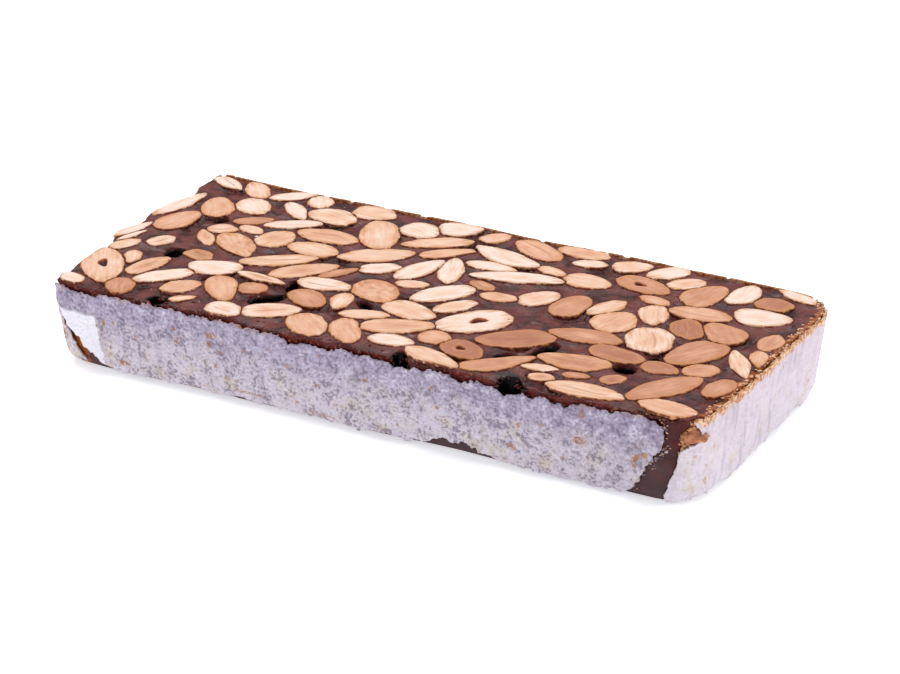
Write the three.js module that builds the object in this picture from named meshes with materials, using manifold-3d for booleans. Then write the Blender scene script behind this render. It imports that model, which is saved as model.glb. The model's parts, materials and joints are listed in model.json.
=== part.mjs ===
// Dark almond nougat bar: a slice sawn from a block of honey caramel packed with whole almonds.
// The sawn face is up, so the kernels show there in section; torn wafer sheets cover the four walls.
// Millimetres, +Z up: X runs along the bar, Y from its front wall to its back wall, Z = 0 is its base.
import * as THREE from "three";
import { mergeVertices } from "three/addons/utils/BufferGeometryUtils.js";
import Module from "manifold-3d";

// ---- Driving dimensions ----
const LENGTH = 190; // over both end walls, before the bulges of the broken ends
const WIDTH = 89.6; // over the front and back walls
const FACE_HEIGHT = 24.7; // from the base to the sawn nougat face
const WAFER = 1.1; // wafer sheet with its sugar crust
const GAP = 0.3; // clearance between pieces that touch
const CORNERS = { nearLeft: 5, nearRight: 9, farRight: 13, farLeft: 3 }; // plan radii

// The walls lean in towards the base and round off above it.
const SIDE_LEAN = 2;
const FOOT_IN = 2.8;
const FOOT_UP = 4.5;

// The walls' facets: steps along a straight wall, steps round a corner, and the heights of the rows.
const WALL_STEP = 8;
const CORNER_STEPS = 4;
const LEVELS = [0, 1, 3.5, 12.5, FACE_HEIGHT];

// Slow waves in the poured walls: [height of the wave, waves round the bar, turn from base to top].
const WALL_WAVES = [
  [0.35, 9, 1.6],
  [0.25, 15, -2.3],
];
// The broken ends: [across, push outwards, half width of the bulge], from the front wall.
const END_BULGES = {
  left: [[84, 4.6, 6], [77, 3, 5], [57, 5.2, 9], [39, 4.4, 7], [16, 1.8, 9]],
  right: [[42, 1.2, 26]],
};

// Kernel sections lie on a layout grid that divides the bar's length in 200.
const LAYOUT_UNIT = LENGTH / 200;
// Each kernel: [along from the left end, across from the front, length, width, turn of its tip, degrees].
const KERNELS = [
  [55.5, 87, 13.5, 10, 0], [110.6, 84.7, 18.3, 9, 156], [123, 89.2, 15.5, 8, 180],
  [21.5, 74.8, 12.8, 10, -35], [45.8, 79, 16, 10.5, 172], [65.1, 73.5, 21.5, 11.4, 118],
  [73.9, 81.6, 12.2, 11, -15], [82.7, 75.7, 19.5, 7.3, -145], [104.8, 75.9, 21.5, 8.6, 166],
  [148, 76.1, 16.8, 9.4, -12], [166, 77.3, 16, 11, 80], [0.9, 66, 20, 7, 78],
  [12.4, 69.4, 15, 9.6, 118], [52.5, 65, 18, 9.6, -178], [72.4, 59.5, 20.5, 9.5, 35],
  [114.6, 64, 26.5, 7, -163], [170, 65.3, 17.5, 8.5, -175], [186, 71, 16, 10.5, 5],
  [7.7, 55, 16.5, 9.4, 76], [40.6, 56.2, 13, 10.4, 75], [53.8, 54.6, 15.5, 9.2, 180],
  [88, 56, 17.5, 8, 72], [137, 53.6, 15, 10, 85], [152.3, 49.5, 14, 12.1, 80],
  [159.5, 58.9, 12.6, 8.4, -65], [181.5, 56.5, 14, 10.5, 140], [33, 47.5, 18, 9.5, -38],
  [49.4, 42.7, 21, 7.6, -144], [59.8, 39.8, 20, 8, 48], [85.1, 37, 16, 12, -35],
  [102.5, 44.5, 18.5, 9.5, 52], [149.5, 37.3, 19.5, 8.6, -172], [166, 43, 16, 13.3, -60],
  [180.3, 41.1, 18.6, 12, -117], [37, 29.9, 15, 10.4, 18], [70.3, 34.2, 15.5, 8.4, 8],
  [99.9, 29.6, 16.4, 9.8, -10], [119, 31.2, 21, 13.6, -132], [134.2, 26.6, 20.5, 11, -145],
  [162.3, 30.3, 16.3, 8.6, -8], [7.5, 17, 25, 12, -50], [27.3, 17.9, 17.5, 7.4, -132],
  [46.5, 18.5, 17, 9, -55], [66.8, 11.6, 16, 9.3, 32], [71.2, 23.6, 13.2, 9.2, -30],
  [102.3, 18.9, 20, 9, 28], [125.1, 13.8, 13.8, 9.3, -25], [154.5, 21, 19, 9.5, -172],
  [182.3, 17, 22, 9.5, -122], [80.5, 8.2, 15, 10.6, -40], [91.7, 9.7, 16, 8.4, -52],
  [120.5, 5.4, 18.5, 7.6, -20], [137, 10, 19.8, 7.3, 45], [165.5, 6.3, 21.5, 7.8, 2],
  [188.7, 6.8, 15.6, 8, -5],
];
// Smaller kernels and halves, fused to the face: the same five values.
const PIECES = [
  [4.5, 87.6, 12, 5.5, -25], [15.5, 86.4, 13, 7, 132], [27.6, 87.4, 13.6, 5.8, 41],
  [37.1, 87, 9, 7.5, -60], [34.4, 77.8, 13.4, 5.6, -42], [27.5, 65, 11, 5.2, 35],
  [39.3, 68.3, 16, 5.8, 33], [23, 55.5, 8.5, 6.5, 25], [30.8, 58.9, 8.2, 5, -15],
  [22.5, 47.5, 11, 4.5, -48], [83.5, 88, 12.5, 9.6, 25], [95.7, 87, 9, 6.5, 50],
  [128, 82.7, 9.5, 5.2, -160], [88.9, 70.4, 15.5, 5.4, 42], [104.5, 67.8, 14, 5.8, 4],
  [96.3, 59.8, 17, 6.8, 110], [78, 51.6, 11.6, 6.6, 40], [109.2, 54.4, 8.6, 4.6, -20],
  [117, 49.4, 10.5, 5.8, 8], [127, 54, 12, 8.6, 60], [133, 71, 13.5, 9, 2],
  [91.5, 46, 9, 5, 15], [139.5, 86.5, 11, 7.5, 25], [150.4, 87, 12, 7.8, -132],
  [158, 82.4, 11, 6.8, -138], [175.5, 83, 13.5, 8, 85], [185.4, 80.8, 10.5, 8.2, 0],
  [188.8, 90.2, 13.5, 7.2, -32], [146, 57, 12.5, 6.2, -115], [171.4, 54.8, 13, 8.6, 120],
  [195, 56.5, 10.4, 6.5, -90], [193.2, 40.6, 15.5, 5, 124], [196.4, 46, 9.4, 4.8, -66],
  [176, 28, 10, 7, -5], [186.3, 31.6, 9.5, 7.6, 40], [195, 23.8, 11.5, 7, -100],
  [168.5, 15.8, 6.8, 5.2, 50], [148.5, 13.3, 9.5, 4, 12], [151.6, 8.2, 7, 4.6, 10],
  [109.6, 38, 12.5, 6.4, 55], [80.3, 26.5, 10.5, 6, -75], [90.5, 21.4, 13, 5.8, 22],
  [114.8, 17.2, 8.6, 8, 0], [105.5, 10, 12.3, 6.8, 10], [69.3, 42.9, 12, 4, 58],
  [28, 35.6, 9, 6.4, -10], [52, 29.9, 15, 4.1, -4], [54.1, 22.4, 8, 7.4, 20],
  [36, 14, 11, 7.6, 50], [19.4, 22.2, 14.5, 6.8, 76], [4.6, 32.5, 9.5, 5.6, 65],
  [12.5, 39.5, 8.5, 6.3, 60], [5.7, 4.5, 8.4, 6.4, -10], [20.8, 6.6, 9.8, 8, -60],
  [55, 6.2, 10.4, 9, -10], [12, 25.8, 8.5, 4.8, -62], [121.2, 72.9, 9.5, 4.6, -15],
  [155.6, 67.8, 9, 5, -12], [159, 13.4, 7, 3.6, 10], [41, 7, 7, 3.5, 40],
  [0.2, 42.6, 14, 4, 73], [2.8, 38.6, 10, 2.4, 73],
];
// Air pockets that the saw opened: [along, across, length, width, depth, turn], on the same grid.
const AIR_POCKETS = [
  [20, 35.5, 8.5, 7, 8, 80], [60.8, 19.4, 14, 6, 7, 50], [62.5, 30, 9, 4, 7, -80],
  [113.6, 1, 13, 4.5, 9, -58], [146, 2, 11.5, 7, 9, -52], [143.6, 24.5, 14, 4, 6, 70],
  [136.4, 17.3, 9, 3.4, 5, 28], [167.6, 24.4, 7.6, 5, 6, 0], [35, 4.6, 7, 6, 6, 30],
  [18, 62.3, 6, 3.4, 4, 60], [94.6, 37.4, 4.5, 3, 4, 60], [171.6, 34.6, 4.5, 3, 4, 20],
  [86.8, 28, 9, 3, 4, -28], [37.9, 22.5, 4, 2.5, 3, 20],
];
const KERNEL_PROUD = 0.3; // the harder kernels stand proud of the sawn nougat
const KERNEL_DEPTH = 5; // deepest that a cut kernel reaches below the face
const KERNEL_SIDES = 12;
const PIECE_SIDES = 8;
const PIECE_ROOT = 1; // how deep a fused piece is rooted in the nougat
const POCKET_CLEARANCE = 0.55; // room round a kernel in its bed
const WALL_COVER = 0.9; // nougat left between a kernel and the wall
const POINTED = 0.14; // how much narrower a kernel is at its tip than at its middle

// Bites out of the front sheet's top and low edges: [along, half width, depth], on the layout grid.
const TOP_BITES = [
  [114, 4, 3.2],
  [147, 4.5, 2.6],
  [35, 4, 1.2],
];
const LOW_BITES = [[130, 3.8, 9]];
// The ribbon that trims a sheet out of the crust: its least row, and how far it reaches out and in.
const RIBBON_LEAST_ROW = 0.3;
const RIBBON_OUT = 1.5 * WAFER;
const RIBBON_IN = 2 * WAFER;

const COLOURS = {
  nougat: 0x4b2d2c,
  piece: 0xe0b483,
  wafer: 0xd9d3de,
  kernels: [0xe3b583, 0xf1d3a4, 0xd19c68, 0xe6bd93],
};
const MERGE_DISTANCE = 1e-4;

const wasm = await Module();
wasm.setup();

// ---- Solids and geometries ----

/** A closed geometry as a solid that can be joined and cut. */
function solidFrom(geometry) {
  const bare = geometry.clone();
  bare.deleteAttribute("normal");
  bare.deleteAttribute("uv");
  const merged = mergeVertices(bare, MERGE_DISTANCE);
  return new wasm.Manifold(
    new wasm.Mesh({
      numProp: 3,
      vertProperties: merged.attributes.position.array,
      triVerts: new Uint32Array(merged.index.array),
    }),
  );
}

/** The flat-shaded geometry of a solid. */
function geometryFrom(solid) {
  const mesh = solid.getMesh();
  const shared = new THREE.BufferGeometry();
  shared.setAttribute("position", new THREE.BufferAttribute(mesh.vertProperties, 3));
  shared.setIndex(new THREE.BufferAttribute(mesh.triVerts, 1));
  const flat = shared.toNonIndexed();
  flat.computeVertexNormals();
  return flat;
}

/** The solid without the crumbs that cuts have left loose. */
function largestBody(solid) {
  return solid.decompose().sort((a, b) => b.volume() - a.volume())[0];
}

/** Moves every vertex of a geometry to where place(x, y, z) puts it. */
function reshape(geometry, place) {
  const position = geometry.attributes.position;
  for (let i = 0; i < position.count; i += 1) {
    const moved = place(position.getX(i), position.getY(i), position.getZ(i));
    position.setXYZ(i, moved.x, moved.y, moved.z);
  }
  return geometry;
}

/** A number from 0 to 1 that always follows the same seed. */
function chance(seed) {
  const value = Math.sin(seed * 127.1 + 311.7) * 43758.5453;
  return value - Math.floor(value);
}

// ---- The walls ----

/** The bar's outline in plan, anticlockwise from the left end of the front wall. */
function planOutline() {
  const x = LENGTH / 2;
  const y = WIDTH / 2;
  const { nearLeft, nearRight, farRight, farLeft } = CORNERS;
  const quarter = Math.PI / 2;
  return new THREE.Shape()
    .moveTo(nearLeft - x, -y)
    .lineTo(x - nearRight, -y)
    .absarc(x - nearRight, nearRight - y, nearRight, -quarter, 0)
    .lineTo(x, y - farRight)
    .absarc(x - farRight, y - farRight, farRight, 0, quarter)
    .lineTo(farLeft - x, y)
    .absarc(farLeft - x, y - farLeft, farLeft, quarter, 2 * quarter)
    .lineTo(-x, nearLeft - y)
    .absarc(nearLeft - x, nearLeft - y, nearLeft, 2 * quarter, 3 * quarter);
}

/** The outline's stations, the point and outward direction at each facet's edge, and each run's first. */
function outlineStations() {
  const stations = [];
  const runs = [];
  for (const curve of planOutline().curves) {
    const length = curve.getLength();
    if (length < MERGE_DISTANCE) continue;
    runs.push(stations.length);
    const steps = curve.isLineCurve ? Math.round(length / WALL_STEP) : CORNER_STEPS;
    for (let k = 0; k < steps; k += 1) {
      const along = curve.getTangent(k / steps);
      stations.push({ point: curve.getPoint(k / steps), out: new THREE.Vector2(along.y, -along.x) });
    }
  }
  return { stations, runs };
}
const { stations: STATIONS, runs: RUNS } = outlineStations();
const [FRONT, NEAR_RIGHT, , FAR_RIGHT, , , LEFT, NEAR_LEFT] = RUNS;

// Wafer sheets: the stations where each starts and ends at the base, what their slant adds at
// the face, and the heights of its edges. The tears take up to their own depth off the top edge.
const SHEETS = {
  wafer_front: { from: FRONT + 1.6, to: NEAR_RIGHT - 0.85, slant: [-3.6, 1.4], top: 24.3, low: 1, tear: 0.8 },
  wafer_right: { from: NEAR_RIGHT - 0.11, to: FAR_RIGHT + 2.5, slant: [1.87, 0], top: 24.9, low: 1, tear: 0.4 },
  wafer_back: { from: FAR_RIGHT + 2.8, to: LEFT - 0.3, slant: [0, 0], top: 24.9, low: 1, tear: 0.3 },
  wafer_left: { from: LEFT, to: NEAR_LEFT + 4.9, slant: [0, -3.6], top: 21.6, low: 1.6, tear: 1.5 },
};

/** How far the leaning wall with its rounded foot stands in at a height. */
function insetAt(z) {
  const lean = SIDE_LEAN * (1 - z / FACE_HEIGHT);
  const below = Math.max(0, 1 - z / FOOT_UP);
  return lean + FOOT_IN * (1 - Math.sqrt(1 - below * below));
}

/** The inset between two levels follows the straight facet between them. */
function facetInset(z) {
  const upper = Math.max(1, LEVELS.findIndex((level) => level >= Math.min(z, FACE_HEIGHT)));
  const [low, high] = [LEVELS[upper - 1], LEVELS[upper]];
  const share = THREE.MathUtils.clamp((z - low) / (high - low), 0, 1);
  return THREE.MathUtils.lerp(insetAt(low), insetAt(high), share);
}

/** How far the wall bulges at a whole station: its slow waves and the broken ends. */
function bulgeAt(index, z) {
  const { point, out } = STATIONS[index];
  let bulge = 0;
  for (const [height, count, turn] of WALL_WAVES) {
    bulge += height * Math.sin((2 * Math.PI * count * index) / STATIONS.length + (turn * z) / FACE_HEIGHT);
  }
  for (const [across, push, halfWidth] of out.x < 0 ? END_BULGES.left : END_BULGES.right) {
    const away = (point.y + WIDTH / 2 - across) / halfWidth;
    bulge += Math.abs(out.x) * push * Math.exp(-away * away);
  }
  return bulge;
}

/** A point of the wall at a station and height, pushed out from the wafer's outer face. */
function wallPoint(station, z, push) {
  const first = Math.floor(station);
  const share = station - first;
  const point = new THREE.Vector3();
  for (const [index, weight] of [[first, 1 - share], [first + 1, share]]) {
    const wrapped = ((index % STATIONS.length) + STATIONS.length) % STATIONS.length;
    const { point: corner, out } = STATIONS[wrapped];
    const reach = bulgeAt(wrapped, Math.min(z, FACE_HEIGHT)) + push;
    point.x += weight * (corner.x + out.x * reach);
    point.y += weight * (corner.y + out.y * reach);
  }
  const inset = facetInset(z);
  point.x *= 1 - inset / (LENGTH / 2);
  point.y *= 1 - inset / (WIDTH / 2);
  point.z = z;
  return point;
}

/** A block that follows the walls, pushed out by push, its top raised by rise. */
function blockSolid(push, rise) {
  const quarter = Math.PI / 2; // puts the first facet's edge on the X axis
  const block = new THREE.CylinderGeometry(1, 1, 1, STATIONS.length, LEVELS.length - 1, false, quarter);
  block.rotateX(Math.PI / 2);
  reshape(block, (x, y, z) => {
    const level = Math.round((z + 0.5) * (LEVELS.length - 1));
    const turn = Math.atan2(y, x) / (2 * Math.PI);
    const station = Math.round((turn + 1) * STATIONS.length) % STATIONS.length;
    const reach = Math.round(Math.hypot(x, y));
    const onWall = wallPoint(station, LEVELS[level], push);
    const raised = level === LEVELS.length - 1 ? rise : 0;
    return new THREE.Vector3(onWall.x * reach, onWall.y * reach, onWall.z + raised);
  });
  return solidFrom(block);
}

// ---- Kernels ----

/** A cut kernel: flat on top, rounded below, narrower at its tip. grow widens it all round. */
function kernelSolid([along, across, length, width, turn], sides, depth, grow) {
  const profile = [
    [0, -1],
    [0.8, -0.6],
    [1, 1],
    [0, 1],
  ].map(([radius, height]) => new THREE.Vector2(radius, height));
  const kernel = new THREE.LatheGeometry(profile, sides);
  kernel.rotateX(Math.PI / 2);
  const halfLength = (length * LAYOUT_UNIT) / 2 + grow;
  const halfWidth = (width * LAYOUT_UNIT) / 2 + grow;
  reshape(kernel, (x, y, z) => {
    const height = z > 0 ? z * (KERNEL_PROUD + grow) : z * (depth + grow);
    return new THREE.Vector3(x * halfLength, y * halfWidth * (1 - POINTED * x), height);
  });
  kernel.rotateZ(THREE.MathUtils.degToRad(turn));
  kernel.translate(along * LAYOUT_UNIT - LENGTH / 2, across * LAYOUT_UNIT - WIDTH / 2, FACE_HEIGHT);
  return solidFrom(kernel);
}

/** How deep a kernel reaches below the face. */
function kernelDepth([, , , width]) {
  return Math.min((width * LAYOUT_UNIT) / 2, KERNEL_DEPTH);
}

/** An air pocket as the solid that is cut away. */
function airPocketSolid([along, across, length, width, depth, turn]) {
  const hollow = new THREE.SphereGeometry(0.5, 8, 4);
  hollow.rotateX(Math.PI / 2);
  hollow.scale(length * LAYOUT_UNIT, width * LAYOUT_UNIT, 2 * depth * LAYOUT_UNIT);
  hollow.rotateZ(THREE.MathUtils.degToRad(turn));
  hollow.translate(along * LAYOUT_UNIT - LENGTH / 2, across * LAYOUT_UNIT - WIDTH / 2, FACE_HEIGHT);
  return solidFrom(hollow);
}

// ---- The pieces ----

/** Names the kernels almond_01, almond_02 and so on, with the solid of each. */
function almondSolids() {
  const kept = blockSolid(-WAFER - GAP - WALL_COVER, 2 * KERNEL_PROUD + GAP);
  return KERNELS.map((kernel, index) => [
    "almond_" + String(index + 1).padStart(2, "0"),
    kernelSolid(kernel, KERNEL_SIDES, kernelDepth(kernel), 0).intersect(kept),
  ]);
}

/** The nougat: the block with its fused pieces, the kernels' beds and the opened air pockets. */
function nougatSolid() {
  const { union } = wasm.Manifold;
  const inside = blockSolid(-WAFER - GAP - WALL_COVER, 2 * KERNEL_PROUD + GAP);
  const bedsInside = blockSolid(-WAFER - GAP - WALL_COVER + POCKET_CLEARANCE, 2 * KERNEL_PROUD + 2 * GAP);
  const pieces = union(PIECES.map((piece) => kernelSolid(piece, PIECE_SIDES, PIECE_ROOT, 0)));
  const beds = union(
    KERNELS.map((kernel) => kernelSolid(kernel, KERNEL_SIDES, kernelDepth(kernel), POCKET_CLEARANCE)),
  );
  const airPockets = union(AIR_POCKETS.map(airPocketSolid));
  const whole = blockSolid(-WAFER - GAP, 0)
    .add(pieces.intersect(inside))
    .subtract(beds.intersect(bedsInside))
    .subtract(airPockets);
  return largestBody(whole);
}

/** Colours the raised faces of the fused pieces apart from the nougat round them. */
function paintPieces(geometry) {
  const { position } = geometry.attributes;
  const colours = new Float32Array(position.count * 3);
  for (let i = 0; i < position.count; i += 3) {
    const lowest = Math.min(position.getZ(i), position.getZ(i + 1), position.getZ(i + 2));
    const shade = new THREE.Color(lowest > FACE_HEIGHT + KERNEL_PROUD / 2 ? COLOURS.piece : COLOURS.nougat);
    for (let corner = 0; corner < 3; corner += 1) shade.toArray(colours, (i + corner) * 3);
  }
  geometry.setAttribute("color", new THREE.BufferAttribute(colours, 3));
  return geometry;
}

/** How deep an edge of the front sheet is bitten at a place along the bar. */
function biteDepth(bites, x) {
  let depth = 0;
  for (const [along, halfWidth, bite] of bites) {
    const away = (x - (along * LAYOUT_UNIT - LENGTH / 2)) / (halfWidth * LAYOUT_UNIT);
    depth += bite * Math.exp(-away * away);
  }
  return depth;
}

/** A ribbon thicker than the wafer that covers one sheet's part of the walls, with its torn edges. */
function ribbonSolid(name, seed) {
  const { from, to, slant, top, low, tear } = SHEETS[name];
  const steps = Math.round(to - from);
  const inner = LEVELS.slice(2, -1);
  const rows = inner.length + 1;
  const ribbon = new THREE.BoxGeometry(1, 1, 1, steps, rows, 1);
  reshape(ribbon, (x, y, z) => {
    const column = Math.round((x + 0.5) * steps);
    const torn = tear * chance(seed + column);
    const middle = wallPoint(THREE.MathUtils.lerp(from, to, column / steps), FACE_HEIGHT, 0).x;
    const isFront = name === "wafer_front";
    const topEdge = top - torn - (isFront ? biteDepth(TOP_BITES, middle) : 0);
    const lowEdge = low + torn / 2 + (isFront ? biteDepth(LOW_BITES, middle) : 0);
    const between = inner.map((level) => Math.max(level, lowEdge + RIBBON_LEAST_ROW));
    const height = [lowEdge, ...between, topEdge][Math.round((y + 0.5) * rows)];
    const rise = height / FACE_HEIGHT;
    const station = THREE.MathUtils.lerp(from + slant[0] * rise, to + slant[1] * rise, column / steps);
    // The box runs anticlockwise round the bar, so its z side faces out.
    return wallPoint(station, height, z > 0 ? RIBBON_OUT : -RIBBON_IN);
  });
  return solidFrom(ribbon);
}

/** The four wafer sheets: what each ribbon keeps of the crust that wraps the nougat's walls. */
function waferSolids() {
  const crust = blockSolid(0, 0).subtract(blockSolid(-WAFER, 0));
  return Object.keys(SHEETS).map((name, index) => [
    name,
    largestBody(crust.intersect(ribbonSolid(name, index * STATIONS.length))),
  ]);
}

// ---- The bar ----

/** Adds a named mesh to the bar. */
function addPiece(bar, name, geometry, finish) {
  const mesh = new THREE.Mesh(geometry, new THREE.MeshStandardMaterial(finish));
  mesh.name = name;
  bar.add(mesh);
}

function buildBar() {
  const bar = new THREE.Group();
  const nougatFinish = { color: 0xffffff, vertexColors: true, roughness: 0.35, metalness: 0 };
  addPiece(bar, "nougat", paintPieces(geometryFrom(nougatSolid())), nougatFinish);
  for (const [index, [name, solid]] of almondSolids().entries()) {
    const color = COLOURS.kernels[Math.floor(chance(index) * COLOURS.kernels.length)];
    addPiece(bar, name, geometryFrom(solid), { color, roughness: 0.6, metalness: 0 });
  }
  for (const [name, solid] of waferSolids()) {
    addPiece(bar, name, geometryFrom(solid), { color: COLOURS.wafer, roughness: 0.9, metalness: 0 });
  }
  // The origin is under the middle of the whole bar.
  const box = new THREE.Box3().setFromObject(bar);
  const middle = box.getCenter(new THREE.Vector3());
  bar.position.set(-middle.x, -middle.y, -box.min.z);
  return bar;
}

export default buildBar();
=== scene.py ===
"""Dark almond nougat bar, dressed: a slice sawn from a block of honey caramel packed with almonds.

The upper and the under face are sawn, so the kernels show there in section, and torn wafer sheets
with a crust of sugar cover the four walls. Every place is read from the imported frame.
"""

from __future__ import annotations

import json
import logging
import math
from collections.abc import Iterator
from contextlib import contextmanager
from dataclasses import dataclass, field, replace
from enum import Enum

import bpy
import numpy as np
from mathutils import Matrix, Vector, noise
from mathutils.bvhtree import BVHTree
from mathutils.kdtree import KDTree

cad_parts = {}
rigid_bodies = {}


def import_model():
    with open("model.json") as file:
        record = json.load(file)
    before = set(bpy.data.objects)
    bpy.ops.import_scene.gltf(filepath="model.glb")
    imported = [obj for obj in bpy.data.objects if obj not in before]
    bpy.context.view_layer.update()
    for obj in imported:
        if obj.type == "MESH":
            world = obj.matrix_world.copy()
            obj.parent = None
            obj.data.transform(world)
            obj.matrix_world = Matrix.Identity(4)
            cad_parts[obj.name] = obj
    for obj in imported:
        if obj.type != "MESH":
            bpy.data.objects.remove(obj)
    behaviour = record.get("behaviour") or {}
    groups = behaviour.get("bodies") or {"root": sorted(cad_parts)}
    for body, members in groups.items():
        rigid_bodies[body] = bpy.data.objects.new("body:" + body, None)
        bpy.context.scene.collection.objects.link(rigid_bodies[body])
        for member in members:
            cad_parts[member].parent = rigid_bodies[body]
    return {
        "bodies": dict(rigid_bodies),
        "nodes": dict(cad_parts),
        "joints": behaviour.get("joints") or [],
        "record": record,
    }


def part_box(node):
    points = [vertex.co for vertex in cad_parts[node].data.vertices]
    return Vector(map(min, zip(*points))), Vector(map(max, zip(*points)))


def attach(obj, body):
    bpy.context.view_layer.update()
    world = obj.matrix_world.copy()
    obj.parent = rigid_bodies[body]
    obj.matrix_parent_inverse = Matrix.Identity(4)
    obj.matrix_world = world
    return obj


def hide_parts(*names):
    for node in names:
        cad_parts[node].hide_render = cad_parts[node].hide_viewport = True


LOG = logging.getLogger("nougat_bar")
MM = 0.001
SEED = 20
SEED_SHIFT = 7.31  # no whole number, because noise is 0 at all whole places
BODY = "root"
SHADER = "Principled BSDF"
Socket = bpy.types.NodeSocket
TURNS = 72  # directions in which a section's reach is kept
PROUD = 0.3 * MM  # the kernels stand this much above the caramel
FLAT = 0.01 * MM  # corners of a sawn face differ less than this in height
MERGE = 0.002 * MM  # corners nearer than this are one
RAY = 40 * MM  # how far a ray looks for a wall
Marks = dict[str, np.ndarray]


# ---- Objects and meshes ----


def choose(piece: bpy.types.Object) -> None:
    """Makes a piece the only selected object, and the active one.

    Args:
        piece: The piece.
    """
    bpy.ops.object.select_all(action="DESELECT")
    piece.select_set(True)
    bpy.context.view_layer.objects.active = piece


@contextmanager
def editing(piece: bpy.types.Object, mode: str = "FACE") -> Iterator[None]:
    """Opens a piece alone in edit mode, and closes it afterwards.

    Args:
        piece: The piece to edit.
        mode: The select mode, VERT, EDGE or FACE.

    Returns:
        A context in which the piece is open.
    """
    choose(piece)
    bpy.ops.object.mode_set(mode="EDIT")
    bpy.ops.mesh.select_mode(type=mode)
    try:
        yield
    finally:
        bpy.ops.object.mode_set(mode="OBJECT")


def apply_modifier(piece: bpy.types.Object, kind: str, **settings: object) -> None:
    """Adds a modifier to a piece with its settings and applies it.

    Args:
        piece: The piece.
        kind: The modifier's type.
        settings: Its settings by name.
    """
    choose(piece)
    modifier = piece.modifiers.new(kind.title(), kind)
    for name, value in settings.items():
        setattr(modifier, name, value)
    bpy.ops.object.modifier_apply(modifier=modifier.name)


def corners(mesh: bpy.types.Mesh, what: str = "co") -> np.ndarray:
    """Reads the vertices of a mesh.

    Args:
        mesh: The mesh.
        what: Which value to read, "co" for the places or "normal" for the normals.

    Returns:
        A row of x, y and z for each vertex.
    """
    flat = np.zeros(len(mesh.vertices) * 3)
    mesh.vertices.foreach_get(what, flat)
    return flat.reshape(-1, 3)


def move_corners(mesh: bpy.types.Mesh, places: np.ndarray) -> None:
    """Moves every vertex of a mesh."""
    mesh.vertices.foreach_set("co", np.asarray(places, float).ravel())
    mesh.update()


def triangles(mesh: bpy.types.Mesh) -> np.ndarray:
    """Reads the triangles of a mesh.

    Args:
        mesh: The mesh.

    Returns:
        A row of three vertex numbers for each triangle.
    """
    mesh.calc_loop_triangles()
    flat = np.zeros(len(mesh.loop_triangles) * 3, int)
    mesh.loop_triangles.foreach_get("vertices", flat)
    return flat.reshape(-1, 3)


def mark(mesh: bpy.types.Mesh, name: str, values: np.ndarray) -> None:
    """Writes one number for each vertex as an attribute that a material can read."""
    attribute = mesh.attributes.get(name) or mesh.attributes.new(name, "FLOAT", "POINT")
    attribute.data.foreach_set("value", np.asarray(values, np.float32))


def merged_copy(node: bpy.types.Object, name: str) -> bpy.types.Object:
    """A free copy of a frame node with its loose triangles joined.

    Args:
        node: The node of the frame.
        name: The name of the copy.

    Returns:
        The copy, at the node's place.
    """
    copy = bpy.data.objects.new(name, node.data.copy())
    bpy.context.scene.collection.objects.link(copy)
    copy.data.materials.clear()
    with editing(copy, "VERT"):
        bpy.ops.mesh.select_all(action="SELECT")
        bpy.ops.mesh.remove_doubles(threshold=MERGE)
    return copy


def lay_grain(mesh: bpy.types.Mesh, rows: np.ndarray) -> None:
    """Gives a mesh the map that the almond's fibres follow.

    Args:
        mesh: The mesh.
        rows: The place of each vertex on the map, in millimetres.
    """
    loops = np.zeros(len(mesh.loops), int)
    mesh.loops.foreach_get("vertex_index", loops)
    layer = mesh.uv_layers.new(name="grain")
    layer.data.foreach_set("uv", rows[loops].ravel())


def smoothed(mesh: bpy.types.Mesh) -> None:
    """Shades all the faces of a mesh smooth."""
    mesh.polygons.foreach_set("use_smooth", [True] * len(mesh.polygons))


def grown(name: str, places: np.ndarray, faces: list) -> bpy.types.Object:
    """Puts a new mesh into a new object.

    Args:
        name: The name of both.
        places: A row of x, y and z for each vertex.
        faces: The vertex numbers of each face.

    Returns:
        The object.
    """
    mesh = bpy.data.meshes.new(name)
    mesh.from_pydata(places.tolist(), [], faces)
    mesh.update()
    smoothed(mesh)
    piece = bpy.data.objects.new(name, mesh)
    bpy.context.scene.collection.objects.link(piece)
    return piece


def unevenness(places: np.ndarray, size: float, seed: int) -> np.ndarray:
    """Smooth lumps from about -1 to 1, a size apart, that differ from seed to seed."""
    shifted = places / size + SEED_SHIFT * seed
    return np.array([noise.noise(row) for row in shifted.tolist()])


def spun(angle: float) -> np.ndarray:
    """The matrix that turns rows of x, y and z about the vertical by an angle."""
    cos, sin = math.cos(angle), math.sin(angle)
    return np.array([[cos, -sin, 0], [sin, cos, 0], [0, 0, 1]])


def ramp(low: float, high: float, values: np.ndarray) -> np.ndarray:
    """Rises smoothly from 0 at low to 1 at high."""
    share = np.clip((values - low) / (high - low), 0, 1)
    return share * share * (3 - 2 * share)


# ---- Finishes ----


def linear(hex_colour: str) -> tuple[float, float, float, float]:
    """An sRGB hex value as a linear colour."""
    values = [int(hex_colour[i : i + 2], 16) / 255 for i in (1, 3, 5)]
    return (*[v / 12.92 if v <= 0.04045 else ((v + 0.055) / 1.055) ** 2.4 for v in values], 1.0)


def connect(material: bpy.types.Material, node: bpy.types.Node, inputs: dict) -> None:
    """Fills a node's inputs.

    Args:
        material: The material that holds the node.
        node: The node.
        inputs: A value, or the socket of another node, for each named or numbered input.
    """
    for name, value in inputs.items():
        if isinstance(value, Socket):
            material.node_tree.links.new(value, node.inputs[name])
        else:
            node.inputs[name].default_value = value


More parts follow.
